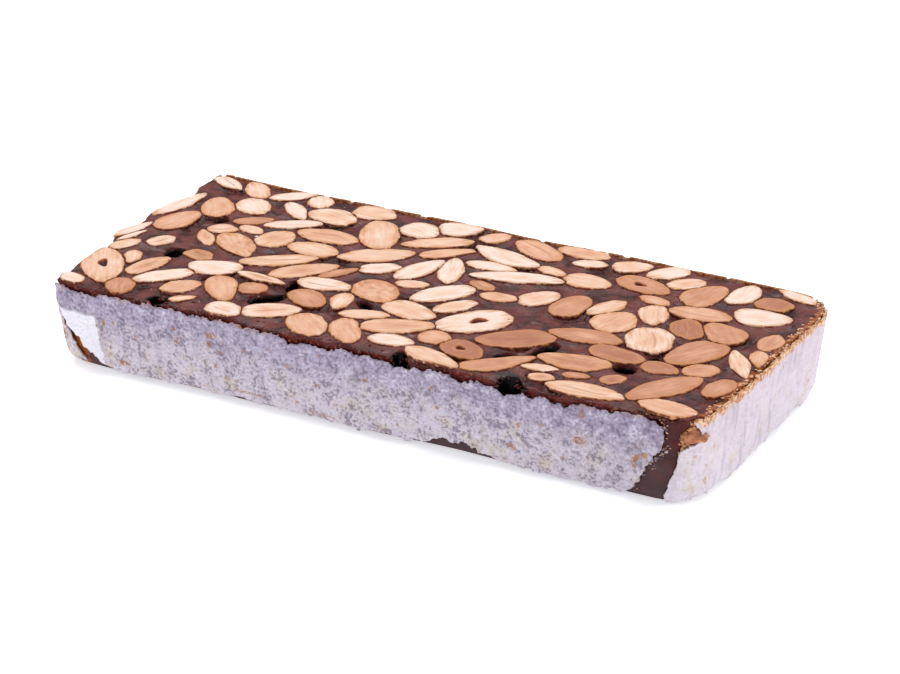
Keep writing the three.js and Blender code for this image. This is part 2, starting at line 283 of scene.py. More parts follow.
def add_node(
    material: bpy.types.Material, kind: str, inputs: dict, output: int | str = 0, **settings: object
) -> Socket:
    """Adds one node to a material with its settings and links.

    Args:
        material: The material that gets the node.
        kind: The node's type, without its ShaderNode prefix.
        inputs: A value, or the socket of another node, for each named or numbered input.
        output: The name or number of the output that is wanted.
        settings: The node's own settings by name.

    Returns:
        The wanted output of the new node.
    """
    node = material.node_tree.nodes.new("ShaderNode" + kind)
    for name, value in settings.items():
        setattr(node, name, value)
    connect(material, node, inputs)
    return node.outputs[output]


def start_material(
    name: str, marks: tuple[str, ...] = ()
) -> tuple[bpy.types.Material, Socket, dict[str, Socket]]:
    """Starts a material.

    Args:
        name: Its name.
        marks: The names of the mesh attributes that it reads.

    Returns:
        The material, the piece's own coordinates in metres, and the number that each mark gives.
    """
    made = bpy.data.materials.new(name)
    made.use_nodes = True
    place = add_node(made, "TexCoord", {}, "Object")
    return made, place, {key: add_node(made, "Attribute", {}, "Fac", attribute_name=key) for key in marks}


def speckle(
    material: bpy.types.Material,
    place: Socket,
    size: float,
    detail: float = 2.0,
    stretch: tuple[float, float, float] = (1, 1, 1),
) -> Socket:
    """Spots of a real size that don't repeat.

    Args:
        material: The material that gets the nodes.
        place: The coordinates that it follows.
        size: The size of its spots, in the coordinates' unit.
        detail: How many finer octaves it has.
        stretch: How much longer the spots are along each axis.

    Returns:
        The pattern from 0 to 1.
    """
    scale = tuple(1 / (size * s) for s in stretch)
    mapped = add_node(material, "Mapping", {"Vector": place, "Scale": scale})
    return add_node(material, "TexNoise", {"Vector": mapped, "Scale": 1.0, "Detail": detail}, "Fac")


def summed(material: bpy.types.Material, base: Socket | float, *terms: tuple[Socket, float]) -> Socket:
    """Adds weighted patterns to a base.

    Args:
        material: The material that gets the nodes.
        base: What they are added to.
        terms: The patterns, each with its weight.

    Returns:
        The sum.
    """
    for pattern, weight in terms:
        base = add_node(material, "Math", {0: pattern, 1: weight, 2: base}, operation="MULTIPLY_ADD")
    return base


@dataclass(frozen=True)
class Coat:
    """One colour over those below: a share, or a pattern's rise from low to high times a strength."""

    share: Socket
    shade: str | Socket
    low: float = 0.0
    high: float = 0.0
    strength: float = 1.0
    within: Socket | None = None


def painted(material: bpy.types.Material, base: str | Socket, *coats: Coat) -> Socket:
    """Lays coats of colour over a base.

    Args:
        material: The material that gets the nodes.
        base: The lowest colour, as a hex value or a socket.
        coats: The coats, the lowest first.

    Returns:
        The colour.
    """
    colour = base if isinstance(base, Socket) else linear(base)
    for coat in coats:
        share = coat.share
        if coat.low != coat.high:
            limits = {0: share, 1: coat.low, 2: coat.high, 4: coat.strength}
            share = add_node(material, "MapRange", limits, interpolation_type="SMOOTHSTEP")
        if coat.within is not None:
            share = add_node(material, "Math", {0: share, 1: coat.within}, operation="MULTIPLY")
        shade = coat.shade if isinstance(coat.shade, Socket) else linear(coat.shade)
        colour = add_node(material, "Mix", {0: share, 6: colour, 7: shade}, 2, data_type="RGBA")
    return colour


def embossed(material: bpy.types.Material, *reliefs: tuple[Socket, float]) -> Socket:
    """Lays reliefs over one another.

    Args:
        material: The material that gets the nodes.
        reliefs: The patterns, the lowest first, each with its depth in metres.

    Returns:
        The surface's normal.
    """
    below = {}
    for pattern, depth in reliefs:
        normal = add_node(material, "Bump", {"Height": pattern, "Distance": depth, "Strength": 1.0, **below})
        below = {"Normal": normal}
    return normal


KERNEL_MARKS = ("tone", "rim", "crease", "hollow", "skin")


@dataclass(frozen=True)
class AlmondFlesh:
    """Roasted almond, sawn through: matt, oily cream flesh with fibres lengthwise in a brown skin."""

    pale: str = "#f3dacb"
    light: str = "#e9bfa2"
    peach: str = "#dfa786"
    tan: str = "#c68966"
    brown: str = "#ac6b4d"
    toasted: str = "#cb8746"
    skin: str = "#7c3d1c"
    crease_shade: str = "#a8683c"
    golden: str = "#b5652c"
    # The inside of a hollow: its skin's dark brown, with painted shade.
    hollow: str = "#5f2409"
    caramel: str = "#4a1c10"
    roughness: float = 0.55
    streaked: float = 0.55
    clouded: float = 0.36
    fibrous: float = 0.34

    def material(self) -> bpy.types.Material:
        """Makes the material, which reads the kernels' own map in millimetres and their marks.

        Returns:
            The flesh's material.
        """
        made, place, marks = start_material("roasted_almond_flesh", KERNEL_MARKS)
        along = add_node(made, "UVMap", {}, uv_map="grain")
        # Fibres are about a quarter of a millimetre wide and some four millimetres long.
        fibre = speckle(made, along, 0.3, 3.0, (14, 1, 1))
        streak = speckle(made, along, 1.2, 2.0, (5, 1, 1))
        cloud = speckle(made, place, 4 * MM)
        middle = -(self.streaked + self.clouded + self.fibrous) / 2
        tone = add_node(made, "Math", {0: marks["tone"], 1: middle}, operation="ADD")
        tone = summed(made, tone, (streak, self.streaked), (cloud, self.clouded), (fibre, self.fibrous))
        flesh = add_node(made, "ValToRGB", {"Fac": tone})
        stops = ((0.0, self.pale), (0.27, self.light), (0.5, self.peach), (0.76, self.tan), (1.0, self.brown))
        elements = flesh.node.color_ramp.elements
        while len(elements) < len(stops):
            elements.new(0.5)
        for element, (position, shade) in zip(elements, stops):
            element.position, element.color = position, linear(shade)
        smear = speckle(made, place, 1.2 * MM, 3.0)
        flesh = painted(
            made,
            flesh,
            Coat(fibre, self.toasted, 0.56, 0.74, 0.45),
            # The roast is darkest just inside the skin.
            Coat(summed(made, marks["rim"], (streak, 0.8)), self.toasted, 1.08, 1.42, 0.68),
            # Painted shade in the crease's groove and in the low places of a torn patch.
            Coat(marks["crease"], self.crease_shade),
            # A hollow has a golden rim and dark brown skin inside, painted darker towards the middle as shade
            # where the hole is deepest.
            Coat(marks["hollow"], self.golden, 0.02, 0.4),
            Coat(marks["hollow"], self.hollow, 0.35, 0.85),
            Coat(speckle(made, place, 1.6 * MM), self.skin, 0.36, 0.52, within=marks["skin"]),
            # Caramel that the saw has dragged over the flesh near the skin.
            Coat(summed(made, smear, (marks["rim"], 0.5)), self.caramel, 1.07, 1.18, 0.75),
        )
        inputs = {
            "Base Color": flesh,
            "Normal": embossed(made, (streak, 0.3 * MM), (fibre, 0.14 * MM)),
            "Roughness": self.roughness,
            "Specular IOR Level": 0.35,
            "Subsurface Weight": 0.12,
            "Subsurface Radius": (1.2 * MM, 0.7 * MM, 0.4 * MM),
            "Subsurface Scale": 1.0,
        }
        connect(made, made.node_tree.nodes[SHADER], inputs)
        return made


@dataclass(frozen=True)
class Caramel:
    """Hard dark honey caramel: glassy, near black in bulk and ruby where it is thin, with fine bubbles."""

    bulk: str = "#3a110e"
    plum_and_sheen: str = "#6b2f29"
    ruby: str = "#641c14"
    honey: str = "#9a5224"
    pocket_shade: str = "#040101"
    # The grey-brown of the lower walls: painted shade and a painted reflection of the floor.
    foot: str = "#4b3a3c"
    scratch_sheen: str = "#86595a"
    bloom: str = "#b5a2a6"
    roughness: float = 0.3

    def material(self) -> bpy.types.Material:
        """Makes the material, which reads how thin, deep or low a place is.

        Returns:
            The caramel's material.
        """
        made, place, marks = start_material("dark_honey_caramel", ("thin", "honey", "foot", "pocket"))
        # The saw's strokes have left faint scratches along the bar.
        scratch = speckle(made, place, 0.5 * MM, 3.0, (16, 1, 1))
        thin = summed(made, marks["thin"], (speckle(made, place, 3.5 * MM, 3.0), 0.8))
        edge = summed(made, marks["honey"], (speckle(made, place, 1.2 * MM, 3.0), 0.9))
        colour = painted(
            made,
            self.bulk,
            # Patches of the caramel's plum tone, partly painted sheen.
            Coat(speckle(made, place, 6 * MM, 3.0), self.plum_and_sheen, 0.38, 0.62),
            # Sugar has bloomed in faint milky smears.
            Coat(speckle(made, place, 2.6 * MM, 4.0, (2, 1, 1)), self.bloom, 0.56, 0.76, 0.25),
            # Painted sheen along the saw's scratches.
            Coat(scratch, self.scratch_sheen, 0.58, 0.8, 0.3),
            Coat(thin, self.ruby, 0.65, 1.2),
            Coat(edge, self.honey, 0.85, 1.2),
            # Painted shade and floor reflection on the lower walls and the under face.
            Coat(marks["foot"], self.foot),
            # Black painted shade in pockets, crevices and the front wall's pocket openings.
            Coat(marks["pocket"], self.pocket_shade),
        )
        dull = speckle(made, place, 3 * MM, 3.0)
        limits = {0: dull, 1: 0.3, 2: 0.7, 3: self.roughness - 0.1, 4: self.roughness + 0.14}
        bubbles = add_node(made, "TexVoronoi", {"Vector": place, "Scale": 1 / (0.9 * MM)})
        pits = add_node(made, "MapRange", {0: bubbles, 1: 0.1, 2: 0.25}, interpolation_type="SMOOTHSTEP")
        wavy = speckle(made, place, 2.2 * MM, 3.0)
        inputs = {
            "Base Color": colour,
            "Normal": embossed(made, (wavy, 0.3 * MM), (scratch, 0.05 * MM), (pits, 0.05 * MM)),
            "Roughness": summed(made, add_node(made, "MapRange", limits), (marks["foot"], 0.4)),
            "IOR": 1.5,
            "Specular IOR Level": 0.17,
        }
        connect(made, made.node_tree.nodes[SHADER], inputs)
        return made


@dataclass(frozen=True)
class SugarCrust:
    """Rice wafer under a crust of sugar grains: chalky, lilac white, soaked brown at its sawn edge."""

    name: str
    upper: str
    lower: str
    shade: str
    grain_highlight: str = "#ded7e4"
    pitted: float = 0.8
    shade_to_right: float = 0.0
    streaked: float = 0.3
    spotted: float = 0.0
    smooth: str = "#eeeaf3"
    beige: str = "#d3c5b2"
    stain: str = "#a9733a"
    cream: str = "#dcb08a"
    soaked: str = "#9a5a34"
    roughness: float = 0.9
    # The heights between which the colour turns from the lower to the upper one; the lighter lower colour is
    # painted light bounced from the floor.
    turn: tuple[float, float] = (11 * MM, 29 * MM)

    def material(self) -> bpy.types.Material:
        """Makes the material, which reads the painted shade of the crust's pits, its stains and the height of
        its sawn edge.

        Returns:
            The crust's material.
        """
        made, place, marks = start_material(self.name, ("smooth", "pit_shade", "stain", "soaked"))
        height = add_node(made, "SeparateXYZ", {0: place}, "Z")
        along = add_node(made, "SeparateXYZ", {0: place}, "X")
        lifted = summed(made, height, (speckle(made, place, 7 * MM, 4.0), 14 * MM))
        fall = {0: lifted, 1: self.turn[1], 2: self.turn[0]}
        low = add_node(made, "MapRange", fall, interpolation_type="SMOOTHSTEP")
        kept = add_node(made, "Math", {0: 1.0, 1: marks["smooth"]}, operation="SUBTRACT")
        fine = speckle(made, place, 0.85 * MM, 5.0)
        grains = summed(made, 0.0, (fine, 0.5), (speckle(made, place, 3.4 * MM, 3.0), 0.5))
        pores = speckle(made, place, 0.45 * MM, 3.0)
        groups, ragged = speckle(made, place, 9 * MM), speckle(made, place, 0.7 * MM)
        seeps = add_node(made, "TexVoronoi", {"Vector": place, "Scale": 1 / (4.5 * MM)})
        seeps = summed(made, seeps, (groups, -0.6), (ragged, 0.25))
        toasted = painted(made, self.soaked, Coat(speckle(made, place, 0.9 * MM, 3.0), self.cream, 0.42, 0.6))
        colour = painted(
            made,
            self.lower,
            # Lighter towards the bottom: painted light bounced from the floor.
            Coat(lifted, self.upper, *self.turn),
            # The sheet hangs in soft columns, with painted shade between them.
            Coat(speckle(made, place, 2.6 * MM, 3.0, (1, 1, 5)), self.shade, 0.5, 0.72, self.streaked),
            Coat(speckle(made, place, 4.5 * MM, 3.0), self.beige, 0.5, 0.68, 0.7, within=low),
            # Painted shade, darker towards the right end of the bar.
            Coat(along, self.shade, 25 * MM, 75 * MM, self.shade_to_right),
            # Grains of sugar get painted highlights, and the gaps, pores and pits between them painted shade.
            Coat(grains, self.shade, 0.5, 0.38, self.pitted, within=kept),
            Coat(grains, self.grain_highlight, 0.5, 0.66, min(self.pitted, 0.75)),
            Coat(pores, self.shade, 0.58, 0.66, 0.4 * self.pitted, within=kept),
            Coat(marks["pit_shade"], self.shade),
            Coat(marks["smooth"], self.smooth),
            # Caramel has seeped through in small brown spots, several millimetres apart.
            Coat(seeps, self.stain, -0.04, -0.16, self.spotted),
            Coat(speckle(made, place, 0.8 * MM, 3.0), self.stain, 0.38, 0.56, within=marks["stain"]),
            Coat(marks["soaked"], toasted),
        )
        inputs = {
            "Base Color": colour,
            "Normal": embossed(made, (grains, 0.7 * self.pitted * MM), (fine, 0.4 * MM)),
            "Roughness": self.roughness,
            "Specular IOR Level": 0.2,
        }
        connect(made, made.node_tree.nodes[SHADER], inputs)
        return made


@dataclass(frozen=True)
class Crumb:
    """Crumbs that the saw has left: grainy and uneven in tone, dry where they are sugar or nut."""

    name: str
    light: str
    dark: str
    roughness: float = 0.65

    def material(self) -> bpy.types.Material:
        """Makes the material.

        Returns:
            The crumbs' material.
        """
        made, place, _ = start_material(self.name)
        tone, grain = speckle(made, place, 1.1 * MM), speckle(made, place, 0.3 * MM)
        inputs = {
            "Base Color": painted(made, self.light, Coat(tone, self.dark, 0.35, 0.65)),
            "Normal": embossed(made, (grain, 0.15 * MM)),
            "Roughness": self.roughness,
        }
        connect(made, made.node_tree.nodes[SHADER], inputs)
        return made


# ---- The sawn face ----


@dataclass
class FaceOutline:
    """The outline of the sawn face in plan, as points that lie close together."""

    spacing: float = 0.4 * MM
    points: np.ndarray = field(default_factory=lambda: np.zeros((0, 2)))

    def read(self, frame: dict) -> FaceOutline:
        """Reads the widest ring of edges round the nougat's flat face.

        Args:
            frame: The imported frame.

        Returns:
            The outline itself.
        """
        copy = merged_copy(frame["nodes"]["nougat"], "outline")
        places, faces = corners(copy.data), triangles(copy.data)
        bpy.data.objects.remove(copy)
        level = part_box("nougat")[1].z - PROUD
        flat = faces[(np.abs(places[faces][:, :, 2] - level) < FLAT).all(1)]
        border = border_edges(flat)
        owner = islands_of(border)
        widest = max(owner, key=lambda island: np.ptp(places[list(island), :2], axis=0).sum())
        rows = []
        for start, end in border:
            if start in widest:
                run = places[end, :2] - places[start, :2]
                steps = max(1, int(np.linalg.norm(run) / self.spacing))
                rows += [places[start, :2] + run * k / steps for k in range(steps)]
        self.points = np.array(rows)
        return self


def distances(points: np.ndarray, places: np.ndarray) -> np.ndarray:
    """Measures in plan how far places are from the nearest of some points.

    Args:
        points: Rows of x and y.
        places: Rows of x, y and z.

    Returns:
        The distance for each place.
    """
    finder = KDTree(len(points))
    for k, (x, y) in enumerate(points):
        finder.insert((x, y, 0), k)
    finder.balance()
    return np.array([finder.find((x, y, 0))[2] for x, y in places[:, :2].tolist()])


def border_edges(faces: np.ndarray) -> np.ndarray:
    """Finds the edges that only one of the triangles has.

    Args:
        faces: Rows of three vertex numbers.

    Returns:
        A row of two vertex numbers for each edge.
    """
    edges = np.sort(np.concatenate([faces[:, [0, 1]], faces[:, [1, 2]], faces[:, [2, 0]]]), axis=1)
    unique, counts = np.unique(edges, axis=0, return_counts=True)
    return unique[counts == 1]


def islands_of(links: np.ndarray) -> list[set[int]]:
    """Groups the vertices that rows of linked vertices join.

    Args:
        links: Rows of vertex numbers.

    Returns:
        The vertex numbers of each island.
    """
    owner: dict[int, int] = {}

    def root(vertex: int) -> int:
        """Finds the vertex that stands for an island.

        Args:
            vertex: Any vertex of the island.

        Returns:
            Its number.
        """
        while owner.setdefault(vertex, vertex) != vertex:
            owner[vertex] = owner[owner[vertex]]
            vertex = owner[vertex]
        return vertex

    for row in links.tolist():
        for vertex in row[1:]:
            owner[root(row[0])] = root(vertex)
    islands: dict[int, set[int]] = {}
    for vertex in list(owner):
        islands.setdefault(root(vertex), set()).add(vertex)
    return list(islands.values())


# ---- Kernels ----


class Roast(Enum):
    """How dark a kernel's flesh is, as its place on the flesh's row of colours."""

    PALE = 0.06
    LIGHT = 0.28
    PEACH = 0.48
    TAN = 0.72
    BROWN = 0.95


class Cut(Enum):
    """What the saw has opened in a kernel."""

    PLAIN = 0
    CREASED = 1
    HOLLOW = 2
    TORN = 3


# The kernels whose flesh isn't peach, by number.
ROASTS = {
    Roast.PALE: (4, 7, 9, 12, 16, 18, 22, 31, 35, 36, 38, 42),
    Roast.LIGHT: (1, 5, 6, 8, 15, 21, 25, 28, 33, 37, 41, 44, 52, 54),
    Roast.TAN: (10, 11, 23, 26, 32, 34, 45, 48, 49, 53),
    Roast.BROWN: (39, 40, 47),
}
CUTS = {
    Cut.CREASED: (2, 14, 17, 28, 33, 36, 44, 48, 54),
    Cut.HOLLOW: (10, 38, 41, 47),
    Cut.TORN: (27, 30),
}


# The small kernels whose flesh isn't peach, in the order that the frame gives them.
SMALL_ROASTS = {
    Roast.PALE: (1, 2, 3, 5, 13, 17, 19, 20, 24, 26, 28, 33, 34, 35, 42, 47, 54, 58),
    Roast.LIGHT: (4, 6, 7, 8, 12, 16, 21, 22, 27, 30, 31, 32, 37, 40, 41, 43, 44, 45, 46, 50, 59),
    Roast.TAN: (10, 14, 15, 23, 25, 36, 51, 57, 60, 61),
    Roast.BROWN: (52, 53, 55, 56),
}


# How far the ends of a bean-shaped kernel bow across it, in millimetres, by number.
BENDS = {2: -0.5, 9: 1.1, 16: -0.7, 18: 1.0, 28: 0.6, 53: 0.7}


def kind_of(number: int, table: dict, usual: Enum) -> Enum:
    """The kind whose row of a table holds a kernel's number, or the usual kind."""
    return next((kind for kind, numbers in table.items() if number in numbers), usual)


@dataclass
class Section:
    """The outline of one cut kernel on a sawn face, read from the frame's flat triangles."""

    centre: np.ndarray
    axis: np.ndarray
    half_length: float
    half_width: float
    reach: np.ndarray

    @property
    def across(self) -> np.ndarray:
        """The direction of the kernel's width."""
        return np.array([-self.axis[1], self.axis[0]])

    def rim(self, angles: np.ndarray) -> np.ndarray:
        """Follows the outline at angles of the stretched circle.

        Args:
            angles: The angles.

        Returns:
            A row of x and y from the centre for each angle.
        """
        turns = np.linspace(0, 2 * np.pi, len(self.reach) + 1)
        reach = np.interp(angles % (2 * np.pi), turns, np.append(self.reach, self.reach[0]))
        lengthwise = reach * np.cos(angles) * self.half_length
        widthwise = reach * np.sin(angles) * self.half_width
        return np.outer(lengthwise, self.axis) + np.outer(widthwise, self.across)

    def room(self, points: np.ndarray) -> np.ndarray:
        """Measures about how far outside the outline each point is.

        Args:
            points: Rows of x and y.

        Returns:
            The distance for each point, below 0 inside the outline.
        """
        local = points - self.centre
        u, v = local @ self.axis / self.half_length, local @ self.across / self.half_width
        turns = np.linspace(0, 2 * np.pi, TURNS + 1)
        reach = np.interp(np.arctan2(v, u) % (2 * np.pi), turns, np.append(self.reach, self.reach[0]))
        far = np.maximum(np.hypot(u, v), 1e-6)
        return (1 - reach / far) * np.linalg.norm(local, axis=1)

    def outline(self, count: int = 40) -> np.ndarray:
        """Points round the outline, in plan."""
        return self.centre + self.rim(np.linspace(0, 2 * np.pi, count, endpoint=False))


def read_section(points: np.ndarray, faces: np.ndarray, softness: int) -> Section:
    """Reads one kernel's outline.

    Args:
        points: The vertices in plan.
        faces: The flat triangles of the kernel's upper face.
        softness: How often the facets of the outline are smoothed.

    Returns:
        The section.
    """
    a, b, c = points[faces[:, 0]], points[faces[:, 1]], points[faces[:, 2]]
    areas = np.abs((b - a)[:, 0] * (c - a)[:, 1] - (b - a)[:, 1] * (c - a)[:, 0]) / 2
    total = areas.sum()
    centre = (areas[:, None] * (a + b + c) / 3).sum(0) / total
    spread = np.zeros((2, 2))
    for area, corner in zip(areas, np.stack([a, b, c], 1) - centre):
        spread += area / 12 * (corner.T @ corner + np.outer(corner.sum(0), corner.sum(0)))
    sizes, directions = np.linalg.eigh(spread / total)
    axis = directions[:, 1] * (1 if directions[0, 1] + 0.01 * directions[1, 1] > 0 else -1)
    half_width, half_length = 2 * np.sqrt(sizes)
    across = np.array([-axis[1], axis[0]])
    border = points[border_edges(faces)] - centre
    circle = np.stack([border @ axis / half_length, border @ across / half_width], -1)
    start, run = circle[:, 0], circle[:, 1] - circle[:, 0]
    turns = np.linspace(0, 2 * np.pi, TURNS, endpoint=False)
    reach = np.ones(len(turns))
    for k, (dx, dy) in enumerate(zip(np.cos(turns), np.sin(turns))):
        cross = dx * run[:, 1] - dy * run[:, 0]
        safe = np.where(np.abs(cross) < 1e-9, 1e-9, cross)
        along = (start[:, 0] * run[:, 1] - start[:, 1] * run[:, 0]) / safe
        share = (start[:, 0] * dy - start[:, 1] * dx) / safe
        hits = along[(share >= -1e-6) & (share <= 1 + 1e-6) & (along > 0)]
        reach[k] = hits.max() if len(hits) else 1
    for _ in range(softness):
        reach = (np.roll(reach, 1) + reach * 2 + np.roll(reach, -1)) / 4
    return Section(centre, axis, half_length, half_width, reach)


def read_islands(points: np.ndarray, faces: np.ndarray, least: float, softness: int) -> list[Section]:
    """Reads every island of flat triangles that is larger than an area as a section.

    Args:
        points: The vertices of the mesh.
        faces: Its flat triangles.
        least: The area in square metres.
        softness: How often the facets of an outline are smoothed.

    Returns:
        The sections, from left to right.
    """
    found = []
    for island in islands_of(faces):
        section = read_section(points[:, :2], faces[np.isin(faces[:, 0], list(island))], softness)
        if section.half_length * section.half_width * math.pi > least:
            found.append(section)
    return sorted(found, key=lambda section: (round(section.centre[0], 4), section.centre[1]))


@dataclass
class Packing:
    """How the kernels have swelled, been pressed out of round and come to lie against each other."""

    gap: float = 0.3 * MM
    rounds: int = 6
    lobes: tuple[tuple[int, float], ...] = ((2, 0.02), (3, 0.03), (4, 0.022), (5, 0.016), (7, 0.01))
    tip: float = 0.05  # one end is drawn out by this share
    tip_width: float = 0.35
    give: float = 0.55  # the share of an overlap that each round takes away

    def settle(self, sections: list[Section], swell: list[float]) -> None:
        """Shapes the sections in place.

        Args:
            sections: The sections of one face.
            swell: How much each one grows.
        """
        draw = np.random.default_rng(SEED + 2)
        turns = np.linspace(0, 2 * np.pi, TURNS, endpoint=False)
        for section, growth in zip(sections, swell):
            slim = section.half_length / section.half_width
            # A long section is pointed like a lens, a round one a little square.
            power = float(np.clip(draw.normal(2.5 - 0.28 * slim, 0.12), 1.62, 2.4))
            lens = (np.abs(np.cos(turns)) ** power + np.abs(np.sin(turns)) ** power) ** (-1 / power)
            bumps = np.zeros(TURNS)
            for lobes, high in self.lobes:
                bumps = bumps + high * draw.normal() * np.cos(lobes * turns + draw.uniform(0, 6.3))
            tip = self.tip * np.exp(-((((turns + np.pi) % (2 * np.pi) - np.pi) / self.tip_width) ** 2))
            section.reach = section.reach * growth * (lens / lens.mean()) * (1 + bumps + tip)
        for _ in range(self.rounds):
            self.part(sections, turns)

    def part(self, sections: list[Section], turns: np.ndarray) -> None:
        """Draws back every outline where it comes too near to its neighbours.

        Args:
            sections: The sections of one face.
            turns: The directions in which their reach is kept.
        """
        rims = [section.rim(turns) for section in sections]
        kept = [section.reach.copy() for section in sections]
        for k, first in enumerate(sections):
            for j, second in enumerate(sections):
                apart = np.linalg.norm(first.centre - second.centre)
                if j == k or apart > 1.3 * (first.half_length + second.half_length):
                    continue
                room = second.room(first.centre + rims[k])
                short = np.clip(self.gap - room, 0, 2 * MM)
                length = np.linalg.norm(rims[k], axis=1)
                kept[k] *= np.where(short > 0, 1 - self.give * short / np.maximum(length, MM), 1)
        for section, reach in zip(sections, kept):
            section.reach = (np.roll(reach, 1) + reach * 6 + np.roll(reach, -1)) / 8


@dataclass
class KernelForm:
    """The form that every cut kernel is copied from: a disc of radius 1 with its skin and buried side."""

    sides: int = 96
    rings: tuple[float, ...] = (
        0.985, 0.96, 0.93, 0.9, 0.85, 0.78, 0.7, 0.62, 0.54, 0.46, 0.4, 0.34, 0.29, 0.24, 0.19, 0.13, 0.07,
    )
    flesh_edge: float = 0.93
    buried: float = -1.0
    foot: float = 0.8  # the radius at the bottom of the buried side
    shoulder: float = 0.55  # the share of its height at which it is widest
    places: np.ndarray = field(default_factory=lambda: np.zeros((0, 3)))
    faces: list = field(default_factory=list)

    def build(self) -> KernelForm:
        """Models the form and keeps its corners and faces.

        Returns:
            The form itself.
        """
        bpy.ops.object.select_all(action="DESELECT")
        bpy.ops.mesh.primitive_circle_add(
            vertices=self.sides, radius=self.foot, fill_type="NGON", location=(0, 0, self.buried)
        )
        disc = bpy.context.object
        with editing(disc):
            bpy.ops.mesh.select_all(action="SELECT")
            rise = -self.buried * self.shoulder
            bpy.ops.mesh.extrude_region_move(TRANSFORM_OT_translate={"value": (0, 0, rise)})
            bpy.ops.transform.resize(value=(1 / self.foot, 1 / self.foot, 1))
            bpy.ops.mesh.extrude_region_move(TRANSFORM_OT_translate={"value": (0, 0, -self.buried - rise)})
            radius = 1.0
            for ring in self.rings:
                bpy.ops.mesh.inset(thickness=(radius - ring) * math.cos(math.pi / self.sides), depth=0)
                radius = ring
            bpy.ops.mesh.poke()
            bpy.ops.mesh.select_all(action="SELECT")
            bpy.ops.mesh.normals_make_consistent(inside=False)
        disc.data.transform(disc.matrix_world)
        self.places = corners(disc.data)
        self.faces = [list(polygon.vertices) for polygon in disc.data.polygons]
        bpy.data.objects.remove(disc)
        return self


SMALL_RINGS = (0.985, 0.96, 0.93, 0.9, 0.85, 0.76, 0.64, 0.52, 0.4, 0.28, 0.14)
UNDER_RINGS = (0.97, 0.93, 0.8, 0.6, 0.4, 0.2)


